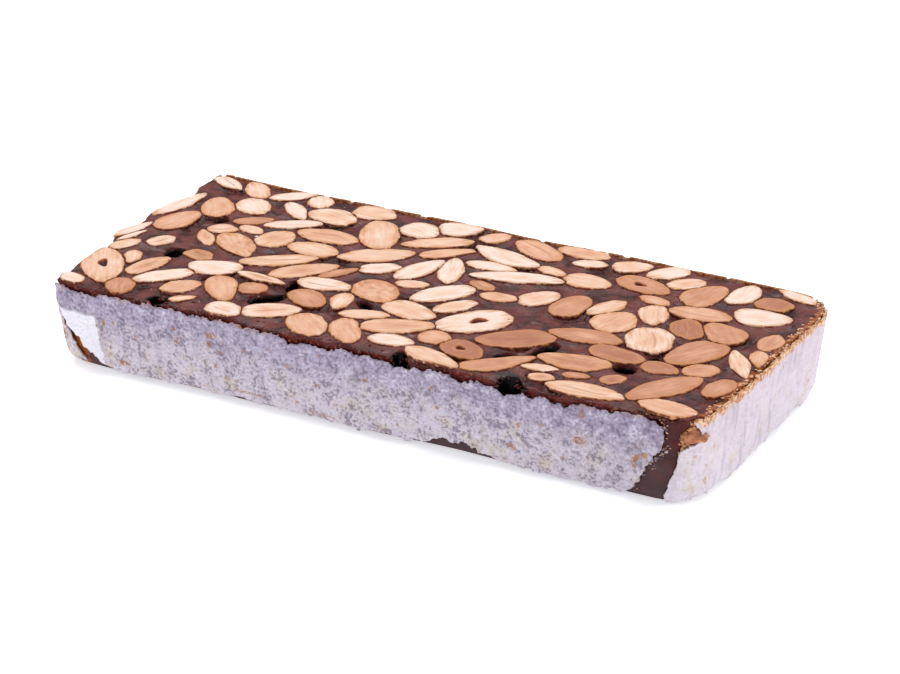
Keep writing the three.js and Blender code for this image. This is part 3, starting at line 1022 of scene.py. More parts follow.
@dataclass
class KernelCut:
    """One kernel in section: how it lies, its roast and what the saw has opened in it."""

    section: Section
    roast: float
    cut: Cut
    seed: int
    level: float
    facing: int = 1
    bend: float = 0.0
    skin: float = 0.28 * MM  # how wide the brown skin shows
    fray: float = 0.19 * MM  # how far the outline wanders
    fray_size: float = 1.3 * MM
    shoulder: float = 0.25 * MM  # the depth at which the buried side turns in
    depth: float = 1.6 * MM
    low: float = 0.05 * MM  # how far the flesh stays under the sawn face
    rounding: float = 0.16 * MM  # how much lower the rim is
    dish: float = 0.06 * MM  # how much lower the middle is
    fibres: float = 0.07 * MM
    crease: float = 0.08 * MM
    hollow: float = 1.1 * MM
    torn: float = 0.3 * MM
    torn_lumps: float = 0.45 * MM

    def shaped(self, form: KernelForm) -> tuple[np.ndarray, Marks, np.ndarray]:
        """Fits the form to the kernel.

        Args:
            form: The form that kernels are copied from.

        Returns:
            The corners, the marks for its material, and its own map in millimetres.
        """
        x, y, z = form.places.T
        radius = np.hypot(x, y)
        angle = np.arctan2(y, x)
        rim = self.section.rim(angle)
        ring = np.column_stack([rim / self.fray_size, np.full(len(x), 5.7 * self.seed)])
        frayed = self.fray * unevenness(ring, 1.0, self.seed)
        frayed = frayed + 0.5 * self.fray * unevenness(ring, 0.45, self.seed)
        length = np.hypot(rim[:, 0], rim[:, 1])
        rim = rim * (1 + frayed / np.maximum(length, MM))[:, None]
        flesh = np.clip(1 - self.skin / np.maximum(length, MM), 0.5, 1)
        inner = radius / form.flesh_edge * flesh
        outer = flesh + (radius - form.flesh_edge) / (1 - form.flesh_edge) * (1 - flesh)
        share = np.where(radius <= form.flesh_edge, inner, outer)
        plan = rim * share[:, None]
        along = plan @ self.section.axis
        across = plan @ self.section.across
        bow = self.bend * ((along / self.section.half_length) ** 2 - 0.35)
        plan = plan + np.outer(bow, self.section.across)
        upper = z > -1e-4
        edge = ramp(0.9, 1.0, radius)
        face = PROUD - self.low - self.rounding * edge**2 - self.dish * ramp(0.5, 0.0, radius)
        fibres = np.stack([along / 6, across / 1.3, np.full(len(x), 3.1 * self.seed * MM)], -1)
        face = face + self.fibres * unevenness(fibres, MM, self.seed) * (1 - edge)
        marks = {
            "skin": np.where(upper, ramp(form.flesh_edge + 0.005, 0.985, radius), 1),
            "rim": np.where(upper, radius, 1),
            "tone": self.roast + self.core() * (0.45 - radius),
            "crease": np.zeros(len(x)),
            "hollow": np.zeros(len(x)),
        }
        face = np.minimum(self.opened(along, across, radius, face, marks), PROUD - 0.02 * MM)
        height = np.where(upper, face, z / -form.buried * self.depth)
        height = np.where(upper | (z < -0.9), height, -self.shoulder)
        places = np.column_stack([self.section.centre + plan, self.level + self.facing * height])
        grain = np.stack([along, across], -1) / MM + 40.0 * self.seed
        for name in ("crease", "hollow"):
            marks[name] = np.where(upper, marks[name], 0)
        return places, marks, grain

    def core(self) -> float:
        """How much darker the middle is than the edge, which differs from kernel to kernel."""
        return 0.34 * math.sin(2.9 * self.seed) + 0.06

    def opened(
        self, along: np.ndarray, across: np.ndarray, radius: np.ndarray, face: np.ndarray, marks: Marks
    ) -> np.ndarray:
        """Opens a crease, a hollow or a torn patch in the flesh and marks it.

        Args:
            along: Each corner's place along the kernel.
            across: Its place across the kernel.
            radius: Its place on the form, from 0 in the middle to 1.
            face: The height of the flesh.
            marks: The marks for the material, which it fills.

        Returns:
            The new height of the flesh.
        """
        half_length, half_width = self.section.half_length, self.section.half_width
        inside = 1 - ramp(0.8, 0.95, radius)
        if self.cut is Cut.CREASED:
            bend = 0.12 * half_width * np.sin(along / half_length * 2.2 + self.seed)
            away = np.abs(across - bend - 0.1 * half_width * math.sin(self.seed))
            line = (1 - ramp(0.12 * MM, 0.42 * MM, away)) * (1 - ramp(0.5, 0.75, np.abs(along) / half_length))
            # The crease mark carries painted shade along the groove.
            marks["crease"] = 0.55 * line * inside
            face = face - self.crease * line * inside
        if self.cut is Cut.HOLLOW:
            u = (along - 0.12 * half_length * math.cos(self.seed)) / (0.25 * half_length)
            v = (across - 0.1 * half_width * math.sin(self.seed)) / (0.25 * half_width)
            away = np.hypot(u, v) * (1 + 0.14 * np.sin(3 * np.arctan2(v, u) + self.seed))
            hole = 1 - ramp(0.6, 1.0, away)
            marks["hollow"] = 1 - ramp(0.7, 1.1, away)
            face = face - self.hollow * hole
        if self.cut is Cut.TORN:
            rows = np.stack([along, across, np.full(len(along), self.seed * MM)], -1)
            lumps = unevenness(rows, 1.6 * MM, self.seed)
            face = face + (self.torn_lumps * lumps - self.torn) * inside
            # Painted shade where the torn flesh is lowest.
            marks["crease"] = 0.4 * ramp(0.1, 0.45, -lumps) * inside
        return face


def dress(piece: bpy.types.Object, material: bpy.types.Material) -> None:
    """Gives a finished piece its material and its body.

    Args:
        piece: The piece.
        material: Its material.
    """
    piece.data.materials.clear()
    piece.data.materials.append(material)
    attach(piece, BODY)
    LOG.info("%s: %d faces", piece.name, len(piece.data.polygons))


def kernel_piece(name: str, cuts: list[KernelCut], form: KernelForm) -> bpy.types.Object:
    """One mesh of one or several kernels.

    Args:
        name: The name of the piece.
        cuts: The kernels that it holds.
        form: The form that they are copied from.

    Returns:
        The piece, with its map and marks.
    """
    parts = [cut.shaped(form) for cut in cuts]
    count = len(form.places)
    places = np.concatenate([part[0] for part in parts])
    faces = []
    for k, cut in enumerate(cuts):
        step = 1 if cut.facing > 0 else -1
        faces += [[k * count + vertex for vertex in face[::step]] for face in form.faces]
    piece = grown(name, places, faces)
    for mark_name in parts[0][1]:
        mark(piece.data, mark_name, np.concatenate([part[1][mark_name] for part in parts]))
    lay_grain(piece.data, np.concatenate([part[2] for part in parts]))
    return piece


@dataclass
class Kernels:
    """The kernels of the upper face: one piece for each large one, and one for all the small ones."""

    form: KernelForm
    large: list[Section] = field(default_factory=list)
    small: list[Section] = field(default_factory=list)
    names: list[str] = field(default_factory=list)
    face: float = 0.0
    swell_large: float = 1.07
    swell_small: float = 1.14
    soft_large: int = 5  # how often the facets of an outline are smoothed
    soft_small: int = 14
    least: float = 4 * MM * MM
    creased: float = 0.15  # the share of the small ones that has a crease

    def read(self, frame: dict) -> None:
        """Reads the kernels' outlines and the height of the sawn face from the frame.

        Args:
            frame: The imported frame.
        """
        self.names = sorted(name for name in frame["nodes"] if name.startswith("almond_"))
        for name in self.names:
            copy = merged_copy(frame["nodes"][name], "outline")
            points, faces = corners(copy.data), triangles(copy.data)
            top = points[:, 2].max()
            flat = faces[(points[faces][:, :, 2] > top - FLAT).all(1)]
            self.large.append(read_section(points[:, :2], flat, self.soft_large))
            self.face = top
            bpy.data.objects.remove(copy)
        copy = merged_copy(frame["nodes"]["nougat"], "outline")
        points, faces = corners(copy.data), triangles(copy.data)
        flat = faces[(points[faces][:, :, 2] > self.face - FLAT).all(1)]
        self.small = read_islands(points, flat, self.least, self.soft_small)
        bpy.data.objects.remove(copy)
        swell = [self.swell_large] * len(self.large) + [self.swell_small] * len(self.small)
        Packing().settle(self.large + self.small, swell)
        LOG.info("%d large and %d small kernels", len(self.large), len(self.small))

    def build(self, flesh: bpy.types.Material) -> None:
        """Models and dresses the kernels of the upper face.

        Args:
            flesh: The flesh's material.
        """
        for number, (name, section) in enumerate(zip(self.names, self.large), 1):
            roast = kind_of(number, ROASTS, Roast.PEACH).value
            cut = kind_of(number, CUTS, Cut.PLAIN)
            bend = BENDS.get(number, 0.0) * MM
            kernel = KernelCut(section, roast, cut, number, self.face - PROUD, bend=bend)
            piece = kernel_piece("kernel_" + name[-2:], [kernel], self.form)
            dress(piece, flesh)
            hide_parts(name)
        draw = np.random.default_rng(SEED)
        cuts = []
        form = KernelForm(sides=64, rings=SMALL_RINGS).build()
        for number, section in enumerate(self.small, 1):
            roast = kind_of(number, SMALL_ROASTS, Roast.PEACH).value + draw.uniform(-0.05, 0.05)
            cut = Cut.CREASED if draw.random() < self.creased else Cut.PLAIN
            cuts.append(KernelCut(section, roast, cut, 100 + number, self.face - PROUD))
        dress(kernel_piece("small_kernels", cuts, form), flesh)


@dataclass
class UnderKernels:
    """The kernels that the saw has opened on the under face, flush with it."""

    form: KernelForm
    lengthwise: float = 0.93
    widthwise: float = 0.86

    def build(self, above: Kernels, flesh: bpy.types.Material) -> None:
        """Lays the upper face's kernels out again, turned half round, and dresses them.

        Args:
            above: The kernels of the upper face.
            flesh: The flesh's material.
        """
        draw = np.random.default_rng(SEED + 1)
        sections = []
        for section in above.large + above.small:
            centre = section.centre * (-self.lengthwise, -self.widthwise)
            shrink = self.widthwise * draw.uniform(0.94, 1.0)
            size = (section.half_length * shrink, section.half_width * shrink)
            sections.append(Section(centre, section.axis, *size, np.roll(section.reach, 36)))
        cuts = []
        for number, section in enumerate(sections, 1):
            roast = float(np.clip(draw.normal(0.45, 0.22), 0.02, 0.95))
            cut = draw.choice([Cut.PLAIN, Cut.PLAIN, Cut.CREASED])
            cuts.append(KernelCut(section, roast, cut, 300 + number, 0.45 * MM, facing=-1))
        dress(kernel_piece("under_kernels", cuts, self.form), flesh)


# ---- The caramel ----


@dataclass
class EdgePocket:
    """An air pocket that both the saw and the torn wall have opened, painted black as shade on the wall, in
    millimetres and degrees.
    """

    centre: tuple[float, float]
    half: tuple[float, float]
    depth: float
    turn: float

    def opened(self, places: np.ndarray, top: float) -> np.ndarray:
        """Finds the places that lie in the pocket.

        Args:
            places: Rows of x, y and z.
            top: The height of the face.

        Returns:
            A share from 0 to 1 for each place.
        """
        away = places / MM - (*self.centre, top / MM)
        turn = math.radians(self.turn)
        along = (away[:, 0] * math.cos(turn) + away[:, 1] * math.sin(turn)) / self.half[0]
        across = (away[:, 1] * math.cos(turn) - away[:, 0] * math.sin(turn)) / self.half[1]
        reach = np.sqrt(along**2 + across**2 + (away[:, 2] / self.depth) ** 2)
        return (1 - ramp(1.1, 1.4, reach)) * ramp(0.35, 0.9, -away[:, 2])


FRONT_POCKETS = (
    EdgePocket((14.6, -44.1), (6.2, 2.3), 6.0, -58),
    EdgePocket((45.4, -43.2), (5.5, 3.4), 6.0, -52),
    EdgePocket((-60.1, -40.7), (3.3, 2.9), 5.0, 30),
)


@dataclass
class Ground:
    """What is known of each corner of the caramel when its marks are set."""

    face: float  # the height of the caramel's face
    places: np.ndarray
    original: np.ndarray  # the heights before the face is laid
    away: np.ndarray  # in plan, from the nearest kernel
    border: np.ndarray  # in plan, from the face's outline
    lumps: np.ndarray
    fine: np.ndarray
    crevice: np.ndarray
    inner: np.ndarray  # in a pocket
    wall: np.ndarray
    low: np.ndarray
    level: np.ndarray


@dataclass
class CaramelBody:
    """The caramel that binds the kernels, lower between them, with the pockets that the saw opened."""

    outline: FaceOutline
    voxel: float = 0.8 * MM
    bed_room: float = 0.8 * MM  # how much larger a kernel's plug is than the kernel
    meniscus: float = 0.08 * MM  # how far the caramel stays under a kernel's rim
    sag: float = 0.65 * MM  # how much lower it is between the kernels
    sag_width: float = 1.15 * MM
    under_lift: float = 0.2 * MM
    crevice: float = 0.9 * MM
    crevice_width: float = 0.4 * MM
    lump_size: float = 3.5 * MM
    fine_size: float = 1.4 * MM
    # How high the lumps and the fine ones are on the face, in a pocket and on a wall.
    face_relief: tuple[float, float] = (0.1 * MM, 0.05 * MM)
    pocket_relief: tuple[float, float] = (0.5 * MM, 0.35 * MM)
    wall_relief: tuple[float, float] = (0.3 * MM, 0.2 * MM)
    wall_back: float = 0.3 * MM
    # The heights over which the foot's painted shade and floor reflection fade out.
    foot_height: tuple[float, float] = (3 * MM, 20 * MM)
    # The near right corner, where no wafer covers the wall.
    bare_corner: tuple[float, float] = (84 * MM, -36 * MM)
    honey_edge: float = 1.3 * MM
    right_honey_edge: float = 2.8 * MM

    def build(self, frame: dict, kernels: Kernels, material: bpy.types.Material) -> bpy.types.Object:
        """Models the caramel round the kernels and dresses it.

        Args:
            frame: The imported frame.
            kernels: The kernels of the upper face.
            material: The caramel's material.

        Returns:
            The piece.
        """
        body = merged_copy(frame["nodes"]["nougat"], "caramel")
        plugs = [merged_copy(frame["nodes"][name], "plug") for name in kernels.names]
        for plug in plugs:
            apply_modifier(plug, "DISPLACE", strength=self.bed_room, mid_level=0.0)
        bpy.ops.object.select_all(action="DESELECT")
        for piece in [*plugs, body]:
            piece.select_set(True)
        bpy.context.view_layer.objects.active = body
        bpy.ops.object.join()
        apply_modifier(body, "REMESH", mode="VOXEL", voxel_size=self.voxel, use_smooth_shade=True)
        self.lay_face(body, kernels)
        body.name = body.data.name = "caramel"
        dress(body, material)
        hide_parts("nougat")
        return body

    def lay_face(self, body: bpy.types.Object, kernels: Kernels) -> None:
        """Lays the caramel's upper face between the kernels, roughens the walls and marks it all.

        Args:
            body: The caramel.
            kernels: The kernels of the upper face.
        """
        places, normals = corners(body.data), corners(body.data, "normal")
        face = kernels.face - PROUD
        outlines = [section.outline() for section in kernels.large + kernels.small]
        away = distances(np.concatenate(outlines), places)
        lumps = unevenness(places, self.lump_size, 1)
        fine = unevenness(places, self.fine_size, 2)
        surface = face - self.meniscus - self.sag * (1 - np.exp(-((away / self.sag_width) ** 2)))
        surface = surface - self.face_relief[0] * lumps - self.face_relief[1] * fine
        # Here and there the caramel has pulled away from the kernels and left a narrow crevice.
        crevice = ramp(0.12, 0.4, unevenness(places * (0.6, 1, 0), 9 * MM, 9))
        crevice = crevice * (1 - ramp(1.2 * MM, 2.0 * MM, away))
        surface = surface - self.crevice * crevice * (1 - np.exp(-((away / self.crevice_width) ** 2)))
        original = places[:, 2].copy()
        places[:, 2] = np.minimum(places[:, 2], surface)
        depth = face - original
        level = (depth < 1.2 * MM) & (normals[:, 2] > 0.6)
        places[:, 2] = np.where(level & (original < face), np.minimum(original, surface), places[:, 2])
        border = distances(self.outline.points, places)
        inner = (depth > 0.6 * MM) & (original > 13 * MM) & (border > self.wall_depth(original))
        low = original < 1.0 * MM
        wall = ~inner & ~low & (np.abs(normals[:, 2]) < 0.7)
        rough = np.where(inner, self.pocket_relief[0] * lumps + self.pocket_relief[1] * fine, 0)
        torn = self.wall_relief[0] * lumps + self.wall_relief[1] * fine - self.wall_back
        places += normals * np.where(wall, torn, rough)[:, None]
        lifted = np.maximum(places[:, 2], 0) + self.under_lift * (normals[:, 2] < -0.5)
        places[:, 2] = np.where(low, lifted, places[:, 2])
        move_corners(body.data, places)
        ground = Ground(face, places, original, away, border, lumps, fine, crevice, inner, wall, low, level)
        mark(body.data, "pocket", self.pocket(ground))
        mark(body.data, "thin", self.thin(ground))
        corner = 0.9 * ramp(-80 * MM, -84 * MM, places[:, 0]) * ramp(17 * MM, 13 * MM, original)
        honey = self.honey(ground)
        mark(body.data, "honey", np.where(wall, np.maximum(honey, corner), honey))
        # The foot of the walls and the under face get painted shade and floor reflection, less of it higher
        # up.
        foot = 0.9 * (1 - ramp(*self.foot_height, original + 6 * MM * lumps + 2 * MM * fine))
        mark(body.data, "foot", np.where(wall | low, foot * (1 - corner), 0))

    def pocket(self, ground: Ground) -> np.ndarray:
        """Finds the depths of pockets and crevices, which are painted black as shade, and darkens the bare
        corner's upper part.

        Args:
            ground: What is known of the corners.

        Returns:
            A share from 0 to 1 for each corner.
        """
        places, original = ground.places, ground.original
        dark = np.where(ground.inner, ramp(0.3 * MM, 1.5 * MM, ground.face - original), 0)
        slit = 0.5 * ground.crevice * ramp(0.1 * MM, 0.5 * MM, ground.away)
        dark = np.where(ground.level, np.maximum(dark, slit), dark)
        # On the bare corner the black rises from none at about 9 mm to half at about 15 mm and above.
        bare = ground.wall & (places[:, 0] > self.bare_corner[0]) & (places[:, 1] < self.bare_corner[1])
        dark = np.where(bare, 0.5 * ramp(9 * MM, 15 * MM, original + 3 * MM * ground.lumps), dark)
        for opening in FRONT_POCKETS:
            dark = np.maximum(dark, opening.opened(places, ground.face))
        return dark

    def thin(self, ground: Ground) -> np.ndarray:
        """Finds where the caramel is thin and lets its ruby through.

        Args:
            ground: What is known of the corners.

        Returns:
            A share from 0 to 1 for each corner.
        """
        near = np.exp(-((ground.away / (1.2 * MM)) ** 2))
        depth = ground.face - ground.original
        share = np.where(ground.inner, 0.7 * (1 - ramp(0.6 * MM, 2.0 * MM, depth)), 0.5 * near)
        brink = ~ground.inner & (ground.border < 2.5 * MM) & ~ground.wall
        share = np.where(brink, np.maximum(share, 0.5 - ground.border / (5 * MM)), share)
        high = ramp(7 * MM, 21 * MM, ground.original + 4 * MM * ground.lumps)
        return np.where(ground.wall, 0.1 + 0.5 * high, share)

    def honey(self, ground: Ground) -> np.ndarray:
        """Finds the crumbly honey edge, which is broad at the right and at the back.

        Args:
            ground: What is known of the corners.

        Returns:
            A share from 0 to 1 for each corner.
        """
        along, across = ground.places[:, 0], ground.places[:, 1]
        behind = across - 0.25 * along > 24 * MM
        right = (along > 88 * MM) & (across > -38 * MM)
        width = np.where(right, self.right_honey_edge, self.honey_edge)
        edge = np.where(behind | right, 1.0, 0.35) * (1 - ramp(0.2, 1.0, ground.border / width))
        return np.where(ground.inner | (ground.original < 21 * MM), 0, edge)

    @staticmethod
    def wall_depth(height: np.ndarray) -> np.ndarray:
        """How far the leaning wall stands in from the face's outline at a height, and a little more."""
        return 0.9 * MM + 2.4 * MM * (1 - height / (24.7 * MM))


# ---- The wafer ----


@dataclass
class Stain:
    """A brown spot on a crust: along the bar, up from the base and its half sizes, in millimetres."""

    along: float
    height: float
    half_length: float
    half_height: float


FRONT_STAINS = tuple(
    Stain(*spot)
    for spot in (
        (-53.2, 14.9, 0.9, 1.2), (-42.2, 18.6, 1.9, 1.1), (-43.1, 16.0, 0.8, 1.0), (-75.8, 15.2, 0.8, 1.6),
        (-65.5, 13.5, 0.8, 0.5), (46.0, 7.3, 1.5, 1.0), (65.0, 13.4, 2.2, 1.0), (79.2, 10.9, 1.0, 1.9),
        (60.1, 7.6, 0.8, 0.5), (65.4, 20.9, 0.9, 1.2), (-41.3, 10.1, 0.7, 1.4), (-38.0, 7.1, 1.1, 0.6),
        (-17.1, 5.3, 0.9, 0.8), (-18.9, 15.3, 0.7, 0.6), (-70.4, 4.9, 1.8, 0.9), (-32.0, 4.4, 5.5, 0.35),
        (-10.0, 3.0, 5.0, 0.4),
    )
)


@dataclass
class Bite:
    """Where the crust's upper edge has crumbled: along the bar, half width and depth, in millimetres."""

    along: float
    half_width: float
    depth: float


FRONT_BITES = tuple(
    Bite(*gap)
    for gap in (
        (-85.0, 5.0, 0.8), (-43.0, 4.0, 0.5), (-17.5, 3.2, 2.2), (-8.5, 5.5, 2.1), (13.2, 3.0, 2.3),
        (31.5, 6.0, 2.0), (44.2, 5.0, 2.9), (59.0, 7.5, 2.1), (85.4, 3.0, 1.4),
    )
)


@dataclass
class Flap:
    """A smooth piece of wafer that lies over the crust at the near left corner, in millimetres."""

    right: float = -77.8
    top: float = 17.3
    proud: float = 0.5
    soft: tuple[float, float] = (-0.25, 0.25)
    fringe: tuple[float, float] = (15.5, 17)

    def covers(self, along: np.ndarray, height: np.ndarray, ragged: np.ndarray) -> np.ndarray:
        """Finds the places that the flap covers.

        Args:
            along: Each place along the bar, in millimetres.
            height: Its height, in millimetres.
            ragged: How the flap's edge wanders there, from about -1 to 1.

        Returns:
            A share from 0 to 1 for each place.
        """
        side = 1 - ramp(*self.soft, along - self.right + 0.9 * ragged - 0.12 * (17 - height))
        over = 1 - ramp(*self.soft, height - self.top + 0.8 * ragged)
        return side * over


@dataclass
class WaferSheet:
    """One torn wafer sheet with its crust, laid over the frame's sheet on a wall."""

    node: str
    finish: SugarCrust
    step: float = 0.4 * MM
    margin: float = 13 * MM
    lift: float = 0.45 * MM  # how far in from the frame's sheet the crust starts
    missed: float = 12 * MM  # how far in a corner lies where no ray finds the sheet
    least_cells: int = 60
    thickness: float = 0.6 * MM
    lumps: float = 0.42 * MM
    lump_size: float = 4.0 * MM
    small_size: float = 1.7 * MM
    grains: float = 0.34 * MM
    grain_size: float = 0.95 * MM
    grit_size: float = 0.55 * MM
    stain_strength: float = 0.85
    tear: float = 0.9 * MM
    folds: float = 0.0
    soaking: float = 1.0
    top: float = 24.35  # in millimetres, as are its tear and both edges
    top_tear: float = 0.4
    low_tear: float = 0.0  # in metres
    stains: tuple[Stain, ...] = ()
    bites: tuple[Bite, ...] = ()
    flap: Flap | None = None
    soak_depth: float = 1.6 * MM
    right_edge: tuple[tuple[float, float], ...] = ()
    left_edge: tuple[tuple[float, float], ...] = ()
    seed: int = 0

    def build(self, frame: dict) -> None:
        """Models the sheet from a grid that is bent round the wall, and dresses it.

        Args:
            frame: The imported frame.
        """
        solid = merged_copy(frame["nodes"][self.node], "sheet_solid")
        tree = BVHTree.FromPolygons(corners(solid.data).tolist(), triangles(solid.data).tolist())
        path = WallPath()
        low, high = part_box(self.node)
        columns, rows = self.grid_size(path, low, high)
        bpy.ops.object.select_all(action="DESELECT")
        bpy.ops.mesh.primitive_grid_add(x_subdivisions=len(columns) - 1, y_subdivisions=len(rows) - 1, size=1)
        sheet = bpy.context.object
        sheet.name = sheet.data.name = self.node + "_crust"
        places, kept = self.laid(tree, path, columns, rows)
        move_corners(sheet.data, places)
        self.trim(sheet, kept)
        self.crusted(sheet)
        bpy.data.objects.remove(solid)
        dress(sheet, self.finish.material())
        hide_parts(self.node)

    def grid_size(self, path: WallPath, low: Vector, high: Vector) -> tuple[np.ndarray, np.ndarray]:
        """Finds the steps round the wall and the heights that the sheet's box takes.

        Args:
            path: The path round the bar.
            low: The least corner of the sheet's box.
            high: Its greatest corner.

        Returns:
            The distances along the path, and the heights.
        """
        columns = np.arange(0, path.length, self.step)
        points, _ = path.at(columns)
        near = (points[:, 0] > low.x - self.margin) & (points[:, 0] < high.x + self.margin)
        near &= (points[:, 1] > low.y - self.margin) & (points[:, 1] < high.y + self.margin)
        first = int(np.argmax(near & ~np.roll(near, 1)))
        columns = columns[first] + np.arange(near.sum()) * self.step
        rows = np.arange(max(low.z - 0.4 * MM, 0.15 * MM), high.z + 0.2 * MM, self.step)
        return columns, rows

    def laid(
        self, tree: BVHTree, path: WallPath, columns: np.ndarray, rows: np.ndarray
    ) -> tuple[np.ndarray, np.ndarray]:
        """Finds where each point of the grid lies on the wall, and which belong to the torn sheet.

        Args:
            tree: The frame's sheet, for rays.
            path: The path round the bar.
            columns: The distances along the path.
            rows: The heights.

        Returns:
            The places, and which of them are kept.
        """
        points, inward = path.at(columns)
        grid = np.stack(np.meshgrid(columns, rows), -1).reshape(-1, 2)
        warp_rows = np.column_stack([grid, np.full(len(grid), self.seed * 0.1)])
        sideways = self.tear * (unevenness(warp_rows, 2.6 * MM, 5) + 0.6 * unevenness(warp_rows, 1.1 * MM, 6))
        upwards = self.tear * (unevenness(warp_rows, 2.2 * MM, 7) + 0.6 * unevenness(warp_rows, 1.0 * MM, 8))
        count = len(columns)
        places = np.zeros((len(grid), 3))
        kept = np.zeros(len(grid), bool)
        for k in range(len(grid)):
            column = k % count
            height = grid[k, 1]
            heading = Vector((*inward[column], 0))
            start = Vector((*points[column], height))
            _, _, _, found = tree.ray_cast(start, heading, RAY)
            beside = min(max(column + int(round(sideways[k] / self.step)), 0), count - 1)
            warped = Vector((*points[beside], height + upwards[k]))
            _, _, _, beyond = tree.ray_cast(warped, Vector((*inward[beside], 0)), RAY)
            kept[k] = beyond is not None
            depth = next((known for known in (found, beyond) if known is not None), self.missed)
            places[k] = start + heading * (depth + self.lift)
        kept &= self.unbroken(places)
        return places, keep_large(kept.reshape(len(rows), count), self.least_cells).ravel()

    def unbroken(self, places: np.ndarray) -> np.ndarray:
        """Finds the places that the crumbled upper edge and the ragged lower edge leave.

        Args:
            places: Rows of x, y and z.

        Returns:
            Whether each place is kept.
        """
        along, height = places[:, 0] / MM, places[:, 2] / MM
        ragged = unevenness(places, 1.5 * MM, 21) + 0.6 * unevenness(places, 0.8 * MM, 22)
        top = np.full(len(places), self.top)
        for bite in self.bites:
            top -= bite.depth * np.exp(-(((along - bite.along) / bite.half_width) ** 2))
        low = self.low_tear * np.clip(0.35 + unevenness(places * (1, 1, 0), 13 * MM, 23), 0, 1) / MM
        kept = (height < top + self.top_tear * ragged) & (height > low + 0.35 * ragged)
        if self.right_edge:
            limit, level = np.array(self.right_edge).T
            kept &= along < np.interp(height, level, limit) + 1.0 * ragged
        if self.left_edge:
            limit, level = np.array(self.left_edge).T
            kept &= (along > np.interp(height, level, limit) + 0.3 * ragged) | (places[:, 1] > -30 * MM)
        return kept

    def trim(self, sheet: bpy.types.Object, kept: np.ndarray) -> None:
        """Takes away what isn't in the torn sheet and softens the stepped edge.

        Args:
            sheet: The sheet.
            kept: Whether each of its vertices is kept.
        """
        sheet.data.vertices.foreach_set("select", ~kept)
        sheet.data.edges.foreach_set("select", np.zeros(len(sheet.data.edges), bool))
        sheet.data.polygons.foreach_set("select", np.zeros(len(sheet.data.polygons), bool))
        with editing(sheet, "VERT"):
            bpy.ops.mesh.delete(type="VERT")
            bpy.ops.mesh.delete_loose()
            bpy.ops.mesh.select_all(action="DESELECT")
            bpy.ops.mesh.select_non_manifold(
                extend=False,
                use_wire=False,
                use_boundary=True,
                use_multi_face=False,
                use_non_contiguous=False,
            )
            bpy.ops.mesh.vertices_smooth(factor=0.5, repeat=2)

    def crusted(self, sheet: bpy.types.Object) -> None:
        """Raises the crust's lumps and grains, gives it its thickness and marks the painted shade of its pits
        and its stains.

        Args:
            sheet: The sheet.
        """
        places, normals = corners(sheet.data), corners(sheet.data, "normal")
        flat_lumps = unevenness(places * (1, 1, 0.55), self.lump_size, 11)
        small_lumps = unevenness(places, self.small_size, 12)
        grain = 0.7 * unevenness(places, self.grain_size, 15) + 0.45 * unevenness(places, self.grit_size, 16)
        smooth = np.zeros(len(places))
        if self.flap:
            smooth = self.flap.covers(places[:, 0] / MM, places[:, 2] / MM, small_lumps)
        rise = self.lumps * (0.7 * flat_lumps + 0.5 * small_lumps) + self.grains * grain
        if self.folds:
            rise = rise + self.folds * unevenness(places * (1, 1, 0.18), self.lump_size, 13)
        rise = rise * (1 - 0.8 * smooth)
        if self.flap:
            crease = unevenness(places * (1, 1, 0.15), 2.0 * MM, 14)
            rise = rise + smooth * (self.flap.proud + 0.5 * crease) * MM
        move_corners(sheet.data, places + normals * rise[:, None])
        # Painted shade where the crust is lowest.
        pit_shade = ramp(0.25, 0.95, -(grain * 1.1 + 0.5 * small_lumps) + 0.25 * -flat_lumps)
        mark(sheet.data, "pit_shade", pit_shade * 0.4 * (1 - smooth))
        mark(sheet.data, "smooth", smooth)
        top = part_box("nougat")[1].z - PROUD
        wet = top - self.soak_depth + 0.9 * MM * (flat_lumps + small_lumps)
        mark(sheet.data, "soaked", self.soaking * ramp(-0.3 * MM, 0.5 * MM, places[:, 2] - wet))
        mark(sheet.data, "stain", self.stained(places, 0.35 * small_lumps, smooth))
        apply_modifier(sheet, "SOLIDIFY", thickness=self.thickness, offset=-1.0)
        smoothed(sheet.data)

    def stained(self, places: np.ndarray, ragged: np.ndarray, smooth: np.ndarray) -> np.ndarray:
        """Finds the brown spots, and the brown fringe of a flap.

        Args:
            places: Rows of x, y and z.
            ragged: How the edge of a spot wanders at each place.
            smooth: The share of each place that the flap covers.

        Returns:
            A share from 0 to 1 for each place.
        """
        stain = np.zeros(len(places))
        for spot in self.stains:
            u = (places[:, 0] / MM - spot.along) / spot.half_length
            v = (places[:, 2] / MM - spot.height) / spot.half_height
            stain = np.maximum(stain, 1 - ramp(0.35, 1.35, np.hypot(u, v) + ragged))
        if self.flap:
            fringe = 4 * smooth * (1 - smooth) * (1 - ramp(*self.flap.fringe, places[:, 2] / MM))
            stain = np.maximum(stain, np.clip(1.6 * fringe, 0, 1))
        return stain * self.stain_strength


def keep_large(mask: np.ndarray, least: int) -> np.ndarray:
    """Clears the islands of a mask that have fewer cells than the least.

    Args:
        mask: The mask.
        least: The least number of cells.

    Returns:
        The mask without them.
    """
    kept = np.zeros_like(mask)
    seen = ~mask
    height, width = mask.shape
    for first in zip(*np.nonzero(mask)):
        if seen[first]:
            continue
        seen[first] = True
        island = [first]
        for row, column in island:
            for near in ((row + 1, column), (row - 1, column), (row, column + 1), (row, column - 1)):
                if 0 <= near[0] < height and 0 <= near[1] < width and not seen[near]:
                    seen[near] = True
                    island.append(near)
        if len(island) >= least:
            kept[tuple(np.array(island).T)] = True
    return kept


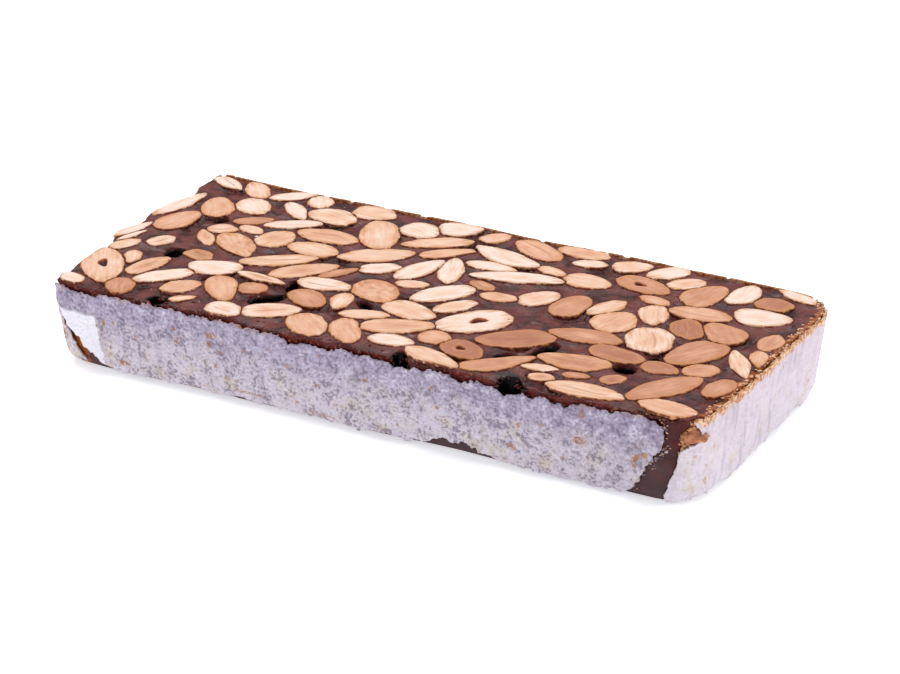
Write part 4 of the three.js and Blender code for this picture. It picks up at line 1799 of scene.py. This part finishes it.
@dataclass
class WallPath:
    """A rounded rectangle that runs round the bar, a little outside its walls, anticlockwise."""

    outside: float = 9 * MM
    radius: float = 17 * MM

    def __post_init__(self) -> None:
        """Measures the path round the nougat."""
        low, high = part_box("nougat")
        self.middle = np.array([(low.x + high.x) / 2, (low.y + high.y) / 2])
        self.half = np.array([(high.x - low.x) / 2, (high.y - low.y) / 2]) + self.outside
        self.straight = 2 * (self.half - self.radius)
        self.arc = math.pi / 2 * self.radius
        self.length = 2 * self.straight.sum() + 4 * self.arc

    def at(self, steps: np.ndarray) -> tuple[np.ndarray, np.ndarray]:
        """Walks along the path.

        Args:
            steps: The distances from its front left.

        Returns:
            A row of x and y for each distance, and the direction inward there.
        """
        points = np.zeros((len(steps), 2))
        inward = np.zeros((len(steps), 2))
        for k, step in enumerate(steps % self.length):
            turn = 0.0
            for side in range(4):
                run = self.straight[side % 2]
                if step <= run + self.arc:
                    break
                step -= run + self.arc
                turn += math.pi / 2
            along = min(step, run)
            bend = max(step - run, 0) / self.radius
            reach, depth = self.half[side % 2] - self.radius, self.half[1 - side % 2] - self.radius
            centre = np.array([-reach + along, -depth])
            outwards = np.array([math.sin(bend), -math.cos(bend)])
            local = centre + self.radius * outwards
            spin = spun(turn)[:2, :2]
            points[k] = self.middle + spin @ local
            inward[k] = -(spin @ outwards)
        return points, inward


# ---- Crumbs ----


@dataclass
class Crumbs:
    """Crumbs of one kind, strewn over seats."""

    name: str
    finish: Crumb
    count: int
    small: float
    large: float
    seed: int
    flat: float = 0.6
    sunk: float = 0.1 * MM

    def build(self, seats: np.ndarray) -> None:
        """Copies one uneven grain to the seats that chance picks, and dresses the heap.

        Args:
            seats: Rows of x, y and z.
        """
        bpy.ops.object.select_all(action="DESELECT")
        bpy.ops.mesh.primitive_ico_sphere_add(subdivisions=2, radius=1.0)
        grain = bpy.context.object
        form = corners(grain.data)
        form *= (1 + 0.5 * unevenness(form, 0.8, self.seed))[:, None]
        faces = np.array([list(polygon.vertices) for polygon in grain.data.polygons])
        bpy.data.objects.remove(grain)
        draw = np.random.default_rng(self.seed)
        parts = []
        for seat in seats[draw.integers(0, len(seats), self.count)]:
            size = self.small + (self.large - self.small) * draw.random() ** 2
            squash = (draw.uniform(0.7, 1.2), draw.uniform(0.45, 0.8), self.flat * draw.uniform(0.6, 1.0))
            # A flat crumb lies flat, and the others lie as they fell.
            fallen = Vector(draw.normal(0, 1, 3)).to_track_quat("Z", "Y") if self.flat > 0.5 else None
            spin = spun(draw.uniform(0, 2 * np.pi))
            turn = np.array(fallen.to_matrix()) if fallen else spin
            parts.append(form * squash @ turn.T * size + seat + (0, 0, -self.sunk))
        every = np.concatenate(parts)
        rows = np.concatenate([faces + k * len(form) for k in range(len(parts))])
        low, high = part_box("nougat")
        every[:, 2] = np.clip(every[:, 2], low.z, high.z)
        piece = grown(self.name, every, rows.tolist())
        dress(piece, self.finish.material())


@dataclass
class CornerAlmond:
    """The side of an almond that the torn sheets have left bare at the near right corner."""

    centre: tuple[float, float, float] = (93.2 * MM, -39.5 * MM, 19.5 * MM)
    half: tuple[float, float, float] = (3.7 * MM, 1.8 * MM, 1.9 * MM)
    turn: float = 50.0
    tilt: float = 14.0

    def build(self, flesh: bpy.types.Material) -> None:
        """Models the almond from a ball and dresses it.

        Args:
            flesh: The flesh's material.
        """
        bpy.ops.object.select_all(action="DESELECT")
        bpy.ops.mesh.primitive_uv_sphere_add(segments=48, ring_count=24, radius=1.0, calc_uvs=False)
        ball = bpy.context.object
        ball.name = ball.data.name = "corner_almond"
        form = corners(ball.data)
        form *= (1 + 0.3 * unevenness(form, 0.7, 3) + 0.2 * unevenness(form, 0.3, 4))[:, None]
        up = math.radians(self.tilt)
        lean = np.array([[math.cos(up), 0, math.sin(up)], [0, 1, 0], [-math.sin(up), 0, math.cos(up)]])
        places = (form * self.half) @ lean.T @ spun(math.radians(self.turn)).T + self.centre
        move_corners(ball.data, places)
        for name, value in (("tone", 0.9), ("rim", 0.8), ("crease", 0.0), ("hollow", 0.0), ("skin", 0.55)):
            mark(ball.data, name, np.full(len(form), value))
        lay_grain(ball.data, (form * self.half / MM)[:, [0, 2]])
        smoothed(ball.data)
        dress(ball, flesh)


# ---- The set ----


@dataclass
class Studio:
    """The pale floor, the soft lights and the camera."""

    lens: float = 128.24
    place: tuple[float, float, float] = (381.28 * MM, -675.99 * MM, 352.3 * MM)
    pitch: float = 23.774
    yaw: float = 29.155
    roll: float = -0.159
    room: tuple[float, float, float, float] = (0.95, 0.96, 1.0, 1)
    room_light: float = 0.42
    board: str = "#fbfbfd"
    board_glow: tuple[float, float, float, float] = (0.94, 0.95, 1.0, 1)
    board_light: float = 0.58
    # A soft box each: its name, its place in metres, the length of its sides and its power in watts.
    boxes: tuple[tuple[str, tuple[float, float, float], float, float], ...] = (
        ("overhead", (-0.25, 0.45, 1.1), 1.3, 14.0),
        ("right", (1.1, 0.1, 0.55), 0.7, 3.6),
        ("front", (-0.5, -1.2, 0.6), 0.9, 2.6),
    )

    def build(self) -> None:
        """Builds the set."""
        self.camera()
        self.floor()
        for box in self.boxes:
            self.light(*box)
        world = bpy.data.worlds.new("room")
        bpy.context.scene.world = world
        world.use_nodes = True
        room = world.node_tree.nodes["Background"].inputs
        room["Color"].default_value, room["Strength"].default_value = self.room, self.room_light
        bpy.context.scene.view_settings.view_transform = "Standard"

    def camera(self) -> None:
        """Places the camera."""
        pitch, yaw, roll = (math.radians(angle) for angle in (self.pitch, self.yaw, self.roll))
        data = bpy.data.cameras.new("camera")
        data.lens = self.lens
        data.sensor_width = 36
        data.clip_start = 0.01
        camera = bpy.data.objects.new("camera", data)
        bpy.context.scene.collection.objects.link(camera)
        camera.location = self.place
        ahead = Vector((-math.cos(pitch) * math.sin(yaw), math.cos(pitch) * math.cos(yaw), -math.sin(pitch)))
        camera.rotation_euler = ahead.to_track_quat("-Z", "Y").to_euler()
        camera.rotation_euler.rotate_axis("Z", roll)
        bpy.context.scene.camera = camera

    def floor(self) -> None:
        """Lays the floor."""
        bpy.ops.object.select_all(action="DESELECT")
        bpy.ops.mesh.primitive_plane_add(size=12)
        floor = bpy.context.object
        floor.name = "floor"
        made = bpy.data.materials.new("white_board")
        made.use_nodes = True
        inputs = {
            "Base Color": linear(self.board),
            "Roughness": 0.8,
            "Specular IOR Level": 0.1,
            "Emission Color": self.board_glow,
            "Emission Strength": self.board_light,
        }
        connect(made, made.node_tree.nodes[SHADER], inputs)
        floor.data.materials.append(made)

    def light(self, name: str, place: tuple[float, float, float], size: float, power: float) -> None:
        """Hangs a soft box that faces the bar.

        Args:
            name: Its name.
            place: Where it hangs, in metres.
            size: The length of its sides.
            power: Its power in watts.
        """
        data = bpy.data.lights.new(name, "AREA")
        data.shape = "SQUARE"
        data.size = size
        data.energy = power
        lamp = bpy.data.objects.new(name, data)
        bpy.context.scene.collection.objects.link(lamp)
        lamp.location = place
        lamp.rotation_euler = (-Vector(place)).to_track_quat("-Z", "Y").to_euler()


# The torn right end of the front crust and the left edge of the right wafer: along the bar, up.
TORN_EDGE = ((85.4, 24.2), (86.8, 21.8), (88.6, 16.9), (85.4, 13.7), (82.9, 9.8), (78.3, 2.3))
RIGHT_EDGE = (
    (86.8, 2.0), (87.2, 5.2), (90.2, 11.2), (91.2, 16.4), (94.6, 18.0), (95.7, 19.5), (95.2, 21.0),
    (94.4, 22.5), (94.4, 24.7),
)
RIGHT_FRINGE = ((94.5, 23.6), (93.2, 21.0), (92.0, 18.4), (91.3, 15.0))
FRONT_BAND = ((-91, 23.4), (87, 23.4))
# White chips on the face, along the bar and across it.
FACE_CHIPS = ((94.2, -33.4), (92.6, -38.2), (-88.0, 2.5), (-60.5, 8.0), (-34.0, -12.0), (22.0, -36.0))

LILAC = SugarCrust(
    "lilac_sugar_crust", "#ada2b8", "#dacfd8", "#766a7c", pitted=0.68, shade_to_right=0.14, spotted=0.8
)
SMOOTH = SugarCrust(
    "white_wafer", "#d3c6ce", "#d9cfd7", "#a093a2", pitted=0.2, streaked=0.45, spotted=0.5,
    cream="#e8c3a2", soaked="#b57a50", grain_highlight="#ece5ee",
)
ROUGH = SugarCrust("white_crust", "#cdc2ce", "#dcd3d9", "#86798a", pitted=0.4, spotted=0.6)
HONEYED = replace(ROUGH, name="honeyed_crust", cream="#c08a60", soaked="#8a4e2c")
SHEETS = (
    WaferSheet(
        "wafer_front", LILAC, step=0.33 * MM, low_tear=2.2 * MM, soaking=0.25, top=24.5, top_tear=0.75,
        stains=FRONT_STAINS, bites=FRONT_BITES, flap=Flap(), right_edge=TORN_EDGE[::-1], seed=1,
    ),
    WaferSheet(
        "wafer_right", SMOOTH, lumps=0.14 * MM, grains=0.06 * MM, tear=1.0 * MM, folds=0.5 * MM, top=24.8,
        top_tear=0.6, soak_depth=2.3 * MM, left_edge=RIGHT_EDGE, seed=2,
    ),
    WaferSheet(
        "wafer_back", HONEYED, step=0.45 * MM, thickness=1.0 * MM, lumps=0.25 * MM, grains=0.15 * MM,
        tear=0.4 * MM, top=24.8, top_tear=0.25, seed=3,
    ),
    WaferSheet(
        "wafer_left", ROUGH, grains=0.12 * MM, folds=0.3 * MM, stains=(Stain(-90.5, 8.5, 2.6, 6.0),), seed=4
    ),
)

GOLDEN = Crumb("golden_sugar_crumb", "#dba472", "#b97a4a")
CREAM = Crumb("cream_almond_crumb", "#f2d3b6", "#dba67c")
RUBY = Crumb("ruby_caramel_crumb", "#6e2c16", "#240a07", roughness=0.3)
SUGAR = Crumb("white_sugar_flake", "#efe9ef", "#cfc3cd", roughness=0.8)
BURNT = Crumb("burnt_sugar_crumb", "#86381f", "#4c160d", roughness=0.5)
BROWN = Crumb("brown_sugar_crumb", "#a8683f", "#7a4326")


@dataclass
class Seats:
    """Places where crumbs lie on the caramel, found by dropping rays on it."""

    caramel: bpy.types.Object
    outline: FaceOutline
    search: float = 14 * MM  # how deep a ray looks for the caramel
    edge_depth: float = 4 * MM  # a seat at the edge isn't lower than this under the top
    face_depth: float = 1.2 * MM
    scatter: float = 0.25 * MM

    def __post_init__(self) -> None:
        """Prepares the caramel for rays."""
        mesh = self.caramel.data
        self.tree = BVHTree.FromPolygons(corners(mesh).tolist(), triangles(mesh).tolist())
        self.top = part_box("nougat")[1].z

    def drop(self, x: float, y: float, least: float) -> tuple | None:
        """The place under a point in plan, where it isn't lower than the least height."""
        seat, _, _, _ = self.tree.ray_cast(Vector((x, y, self.top + MM)), Vector((0, 0, -1)), self.search)
        return tuple(seat) if seat is not None and seat.z > least else None

    def edge(self, low: tuple, high: tuple, depth: float, count: int, seed: int) -> np.ndarray:
        """Finds seats along the stretch of the face's edge inside a box.

        Args:
            low: The least corner of a box in plan.
            high: Its greatest corner.
            depth: How far in from the edge the seats reach.
            count: How many places are tried.
            seed: Another number gives other seats.

        Returns:
            A row of x, y and z for each seat.
        """
        draw = np.random.default_rng(seed)
        border = self.outline.points
        border = border[((border > np.array(low)) & (border < np.array(high))).all(1)]
        low_box, high_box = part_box("nougat")
        middle = np.array([(low_box.x + high_box.x) / 2, (low_box.y + high_box.y) / 2])
        seats = []
        for start in border[draw.integers(0, len(border), count)]:
            inward = (middle - start) / np.abs(middle - start).max()
            place = start + inward * depth * draw.random() ** 1.5 + draw.normal(0, self.scatter, 2)
            seat = self.drop(*place, self.top - self.edge_depth)
            if seat:
                seats.append(seat)
        return np.array(seats)

    def wall(self, line: tuple, spread: float, count: int, seed: int) -> np.ndarray:
        """Finds seats on the front wall along a line.

        Args:
            line: Places along the bar and heights, in millimetres.
            spread: How far the seats stray from the line.
            count: How many places are tried.
            seed: Another number gives other seats.

        Returns:
            A row of x, y and z for each seat.
        """
        draw = np.random.default_rng(seed)
        points = np.array(line) * MM
        seats = []
        for _ in range(count):
            first = int(draw.integers(0, len(points) - 1))
            x, z = points[first] + draw.random() * (points[first + 1] - points[first])
            start = Vector((x + draw.normal(0, 0.5) * spread, -60 * MM, z + draw.normal(0, 0.5) * spread))
            seat, _, _, _ = self.tree.ray_cast(start, Vector((0, 1, 0)), RAY)
            if seat is not None:
                seats.append(tuple(seat))
        return np.array(seats)

    def face(self, count: int, seed: int) -> np.ndarray:
        """Finds seats all over the face, out of the pockets.

        Args:
            count: How many places are tried.
            seed: Another number gives other seats.

        Returns:
            A row of x, y and z for each seat.
        """
        draw = np.random.default_rng(seed)
        low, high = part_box("nougat")
        places = zip(draw.uniform(low.x, high.x, count), draw.uniform(low.y, high.y, count))
        found = [self.drop(x, y, self.top - self.face_depth) for x, y in places]
        return np.array([seat for seat in found if seat])


def strew(seats: Seats) -> None:
    """Finds the seats and strews all the crumbs.

    Args:
        seats: The finder of places where crumbs can lie.
    """
    right = seats.edge((88 * MM, -36 * MM), (99 * MM, 47 * MM), 2.2 * MM, 2600, 31)
    torn = seats.wall(TORN_EDGE, 1.0 * MM, 500, 40)
    fringe = seats.wall(RIGHT_FRINGE, 1.2 * MM, 400, 43)
    chips = [seats.drop(x * MM, y * MM, seats.top - 2 * MM) for x, y in FACE_CHIPS]
    chips = np.array([seat for seat in chips if seat])
    band = seats.wall(FRONT_BAND, 2.0 * MM, 1600, 46)
    front = seats.edge((-96 * MM, -47 * MM), (90 * MM, -40 * MM), 1.2 * MM, 3000, 34)
    back = seats.edge((-99 * MM, 40 * MM), (90 * MM, 47 * MM), 1.0 * MM, 3000, 36)
    heaps = (
        (Crumbs("golden_edge_crumbs", GOLDEN, 220, 0.25 * MM, 0.8 * MM, 32, flat=0.3), right),
        (Crumbs("cream_edge_crumbs", CREAM, 200, 0.25 * MM, 0.8 * MM, 33, flat=0.3), right),
        (Crumbs("torn_edge_crumbs", CREAM, 40, 0.2 * MM, 0.6 * MM, 41, flat=0.4), torn),
        (Crumbs("torn_edge_flakes", SUGAR, 34, 0.15 * MM, 0.55 * MM, 42, flat=0.35), torn),
        (Crumbs("fringe_crumbs", GOLDEN, 130, 0.2 * MM, 0.8 * MM, 44), fringe),
        (Crumbs("face_chips", SUGAR, 9, 0.5 * MM, 1.0 * MM, 45, flat=0.35), chips),
        (Crumbs("band_crumbs", BURNT, 480, 0.2 * MM, 0.8 * MM, 47), band),
        (Crumbs("ruby_edge_crumbs", RUBY, 1100, 0.15 * MM, 0.5 * MM, 35), front),
        (Crumbs("brown_edge_crumbs", BROWN, 600, 0.15 * MM, 0.4 * MM, 37), back),
        (Crumbs("face_crumbs", CREAM, 220, 0.12 * MM, 0.42 * MM, 38, flat=0.4), seats.face(1500, 39)),
    )
    for crumbs, places in heaps:
        crumbs.build(places)


def main() -> None:
    """Builds the bar's pieces in order and reports each."""
    logging.basicConfig(level=logging.INFO, format="%(name)s %(message)s")
    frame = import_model()
    bpy.ops.object.select_all(action="DESELECT")
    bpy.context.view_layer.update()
    Studio().build()
    flesh = AlmondFlesh().material()
    kernels = Kernels(KernelForm().build())
    kernels.read(frame)
    kernels.build(flesh)
    UnderKernels(KernelForm(sides=32, rings=UNDER_RINGS).build()).build(kernels, flesh)
    outline = FaceOutline().read(frame)
    caramel = CaramelBody(outline).build(frame, kernels, Caramel().material())
    for sheet in SHEETS:
        sheet.build(frame)
    CornerAlmond().build(flesh)
    strew(Seats(caramel, outline))


if __name__ == "__main__":
    main()
